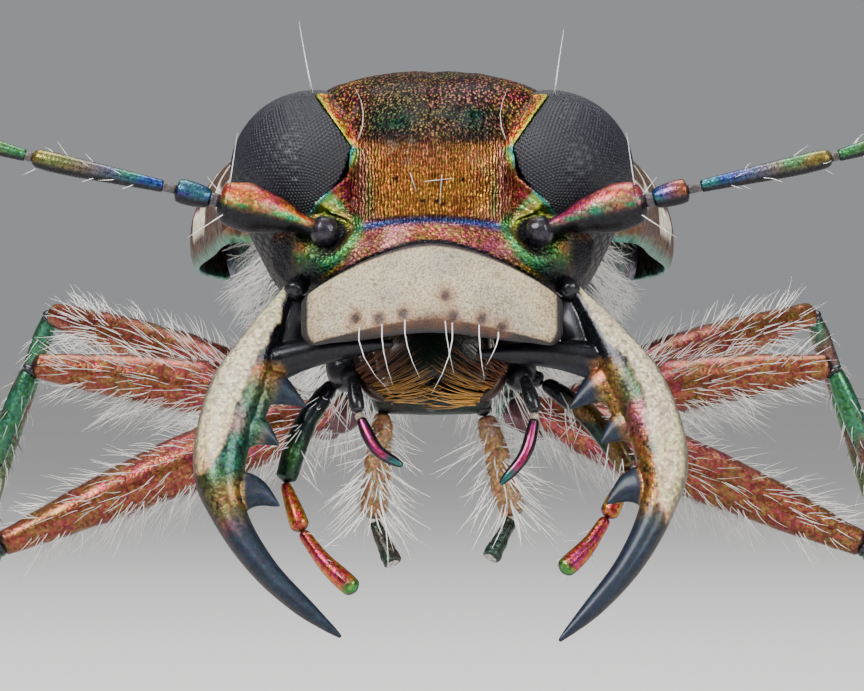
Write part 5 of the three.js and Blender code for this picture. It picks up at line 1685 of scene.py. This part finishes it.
# Each coat's body, start, end, lowest and highest turn, count and length
COATS = (
    (PROTHORAX, 0.15, 2.6, -1.5, 0.05, 1900, 0.55),
    (PROTHORAX, 0.1, 2.6, 0.05, 0.5, 160, 0.3),
    (CORE, 3.1, 6.3, -1.4, -0.25, 1500, 0.5),
    (CORE, 6.3, 11.5, -1.1, -0.3, 700, 0.36),
    (CORE, 3.0, 3.9, -0.45, 0.6, 900, 0.5),
)


def trunk_hairs(tufts):
    for row, (size, start, end, low, high, count, length) in enumerate(COATS):
        b = RANDOM.uniform(start, end, count)
        a = RANDOM.uniform(low, high, count)
        mirror = RANDOM.uniform(0, 1, count) < 0.5
        a = np.where(mirror, np.pi - a, a)
        roots = section(size, b, a, 0.98)
        outward = unit(roots - trunk(0.0, b, 0.0))
        back = unit(trunk(0.0, b + 1, 0.0) - trunk(0.0, b, 0.0))
        aim = outward * 0.8 + back * 0.5 + np.array([0, 0, -0.35]) + RANDOM.normal(0, 0.2, (count, 3))
        bend = back * 0.2 + RANDOM.normal(0, 0.15, (count, 3)) - outward * 0.15
        uv = np.stack([0.02 + 0.9 * (a / (2 * np.pi) % 1), 0.62 + 0.04 * row + 0.03 * b / 13], -1)
        tint = np.array(WHITE) * RANDOM.uniform(0.8, 1.05, (count, 1))
        hairs(tufts, roots, aim, length * RANDOM.uniform(0.6, 1.1, count), 0.0058, bend, uv, tint)


head_piece()
eyes()
lip_piece()
labium_piece()
head_tufts, leg_tufts, trunk_tufts = Shape(), Shape(), Shape()
for side_name, side in SIDES:
    mandible_piece(side_name, side)
    mouth_side(side_name, side, head_tufts)
    antenna(side_name, side, head_tufts)
    case_piece(side_name, side)
prothorax_piece()
underside_piece()
scutellum_piece()
for number, (pair, thick, *places) in enumerate(LEGS):
    for side_name, side in SIDES:
        leg(pair, thick, places, side_name, side, leg_tufts, 2 * number + (side > 0))
head_hairs(head_tufts)
trunk_hairs(trunk_tufts)
head_tufts.build("setae_head", HAIR, "ivory")
leg_tufts.build("setae_legs", HAIR, "ivory")
trunk_tufts.build("setae_trunk", HAIR, "ivory")

# Floor, light and camera

FLOOR_SIZE = 3.0
floor_mesh = bpy.data.meshes.new("floor")
edge = FLOOR_SIZE / 2
corners = [(-edge, -edge, 0), (edge, -edge, 0), (edge, edge, 0), (-edge, edge, 0)]
floor_mesh.from_pydata(corners, [], [(0, 1, 2, 3)])
floor = bpy.data.objects.new("floor", floor_mesh)
bpy.context.scene.collection.objects.link(floor)
ground = Graph("floor")
ground.set(Roughness=0.9)
ground.link(ground.mix(ground.noise(0.02, 2), (0.62, 0.61, 0.60), (0.66, 0.65, 0.64)),
            ground.shader.inputs["Base Color"])
floor_mesh.materials.append(ground.material)

world = bpy.data.worlds.new("studio")
bpy.context.scene.world = world
world.use_nodes = True
world.node_tree.nodes["Background"].inputs[0].default_value = (0.62, 0.63, 0.65, 1)
world.node_tree.nodes["Background"].inputs[1].default_value = 0.48


def area_light(name, place, aim, size, power):
    light = bpy.data.lights.new(name, "AREA")
    light.shape = "DISK"
    light.size = size
    light.energy = power
    lamp = bpy.data.objects.new(name, light)
    lamp.location = place
    toward = np.array(aim) - np.array(place)
    lamp.rotation_euler = (
        math.atan2(math.hypot(toward[0], toward[1]), -toward[2]), 0,
        math.atan2(toward[1], toward[0]) - math.pi / 2,
    )
    bpy.context.scene.collection.objects.link(lamp)


sky = bpy.data.lights.new("sky", "SUN")
sky.energy = 0.7
sky.angle = math.radians(70)
sky_lamp = bpy.data.objects.new("sky", sky)
sky_lamp.rotation_euler = (math.radians(35), 0, 0)
bpy.context.scene.collection.objects.link(sky_lamp)

HEAD_AT = (0, -0.007, 0.006)
area_light("key", (-0.05, -0.07, 0.08), HEAD_AT, 0.06, 0.20)
area_light("fill", (0.07, -0.07, 0.05), HEAD_AT, 0.06, 0.10)
area_light("top", (0.0, 0.03, 0.12), HEAD_AT, 0.08, 0.13)

camera_data = bpy.data.cameras.new("camera")
camera_data.sensor_width = SENSOR
camera_data.lens = SENSOR * CAMERA_DISTANCE / FRAME_WIDTH
camera_data.clip_start = 0.001
camera_data.clip_end = 10
camera = bpy.data.objects.new("camera", camera_data)
camera.location = ((np.array([0, -CAMERA_DISTANCE, CAMERA_HEIGHT]) + OFFSET) * MM).tolist()
camera.rotation_euler = (math.pi / 2, 0, 0)
bpy.context.scene.collection.objects.link(camera)
bpy.context.scene.camera = camera
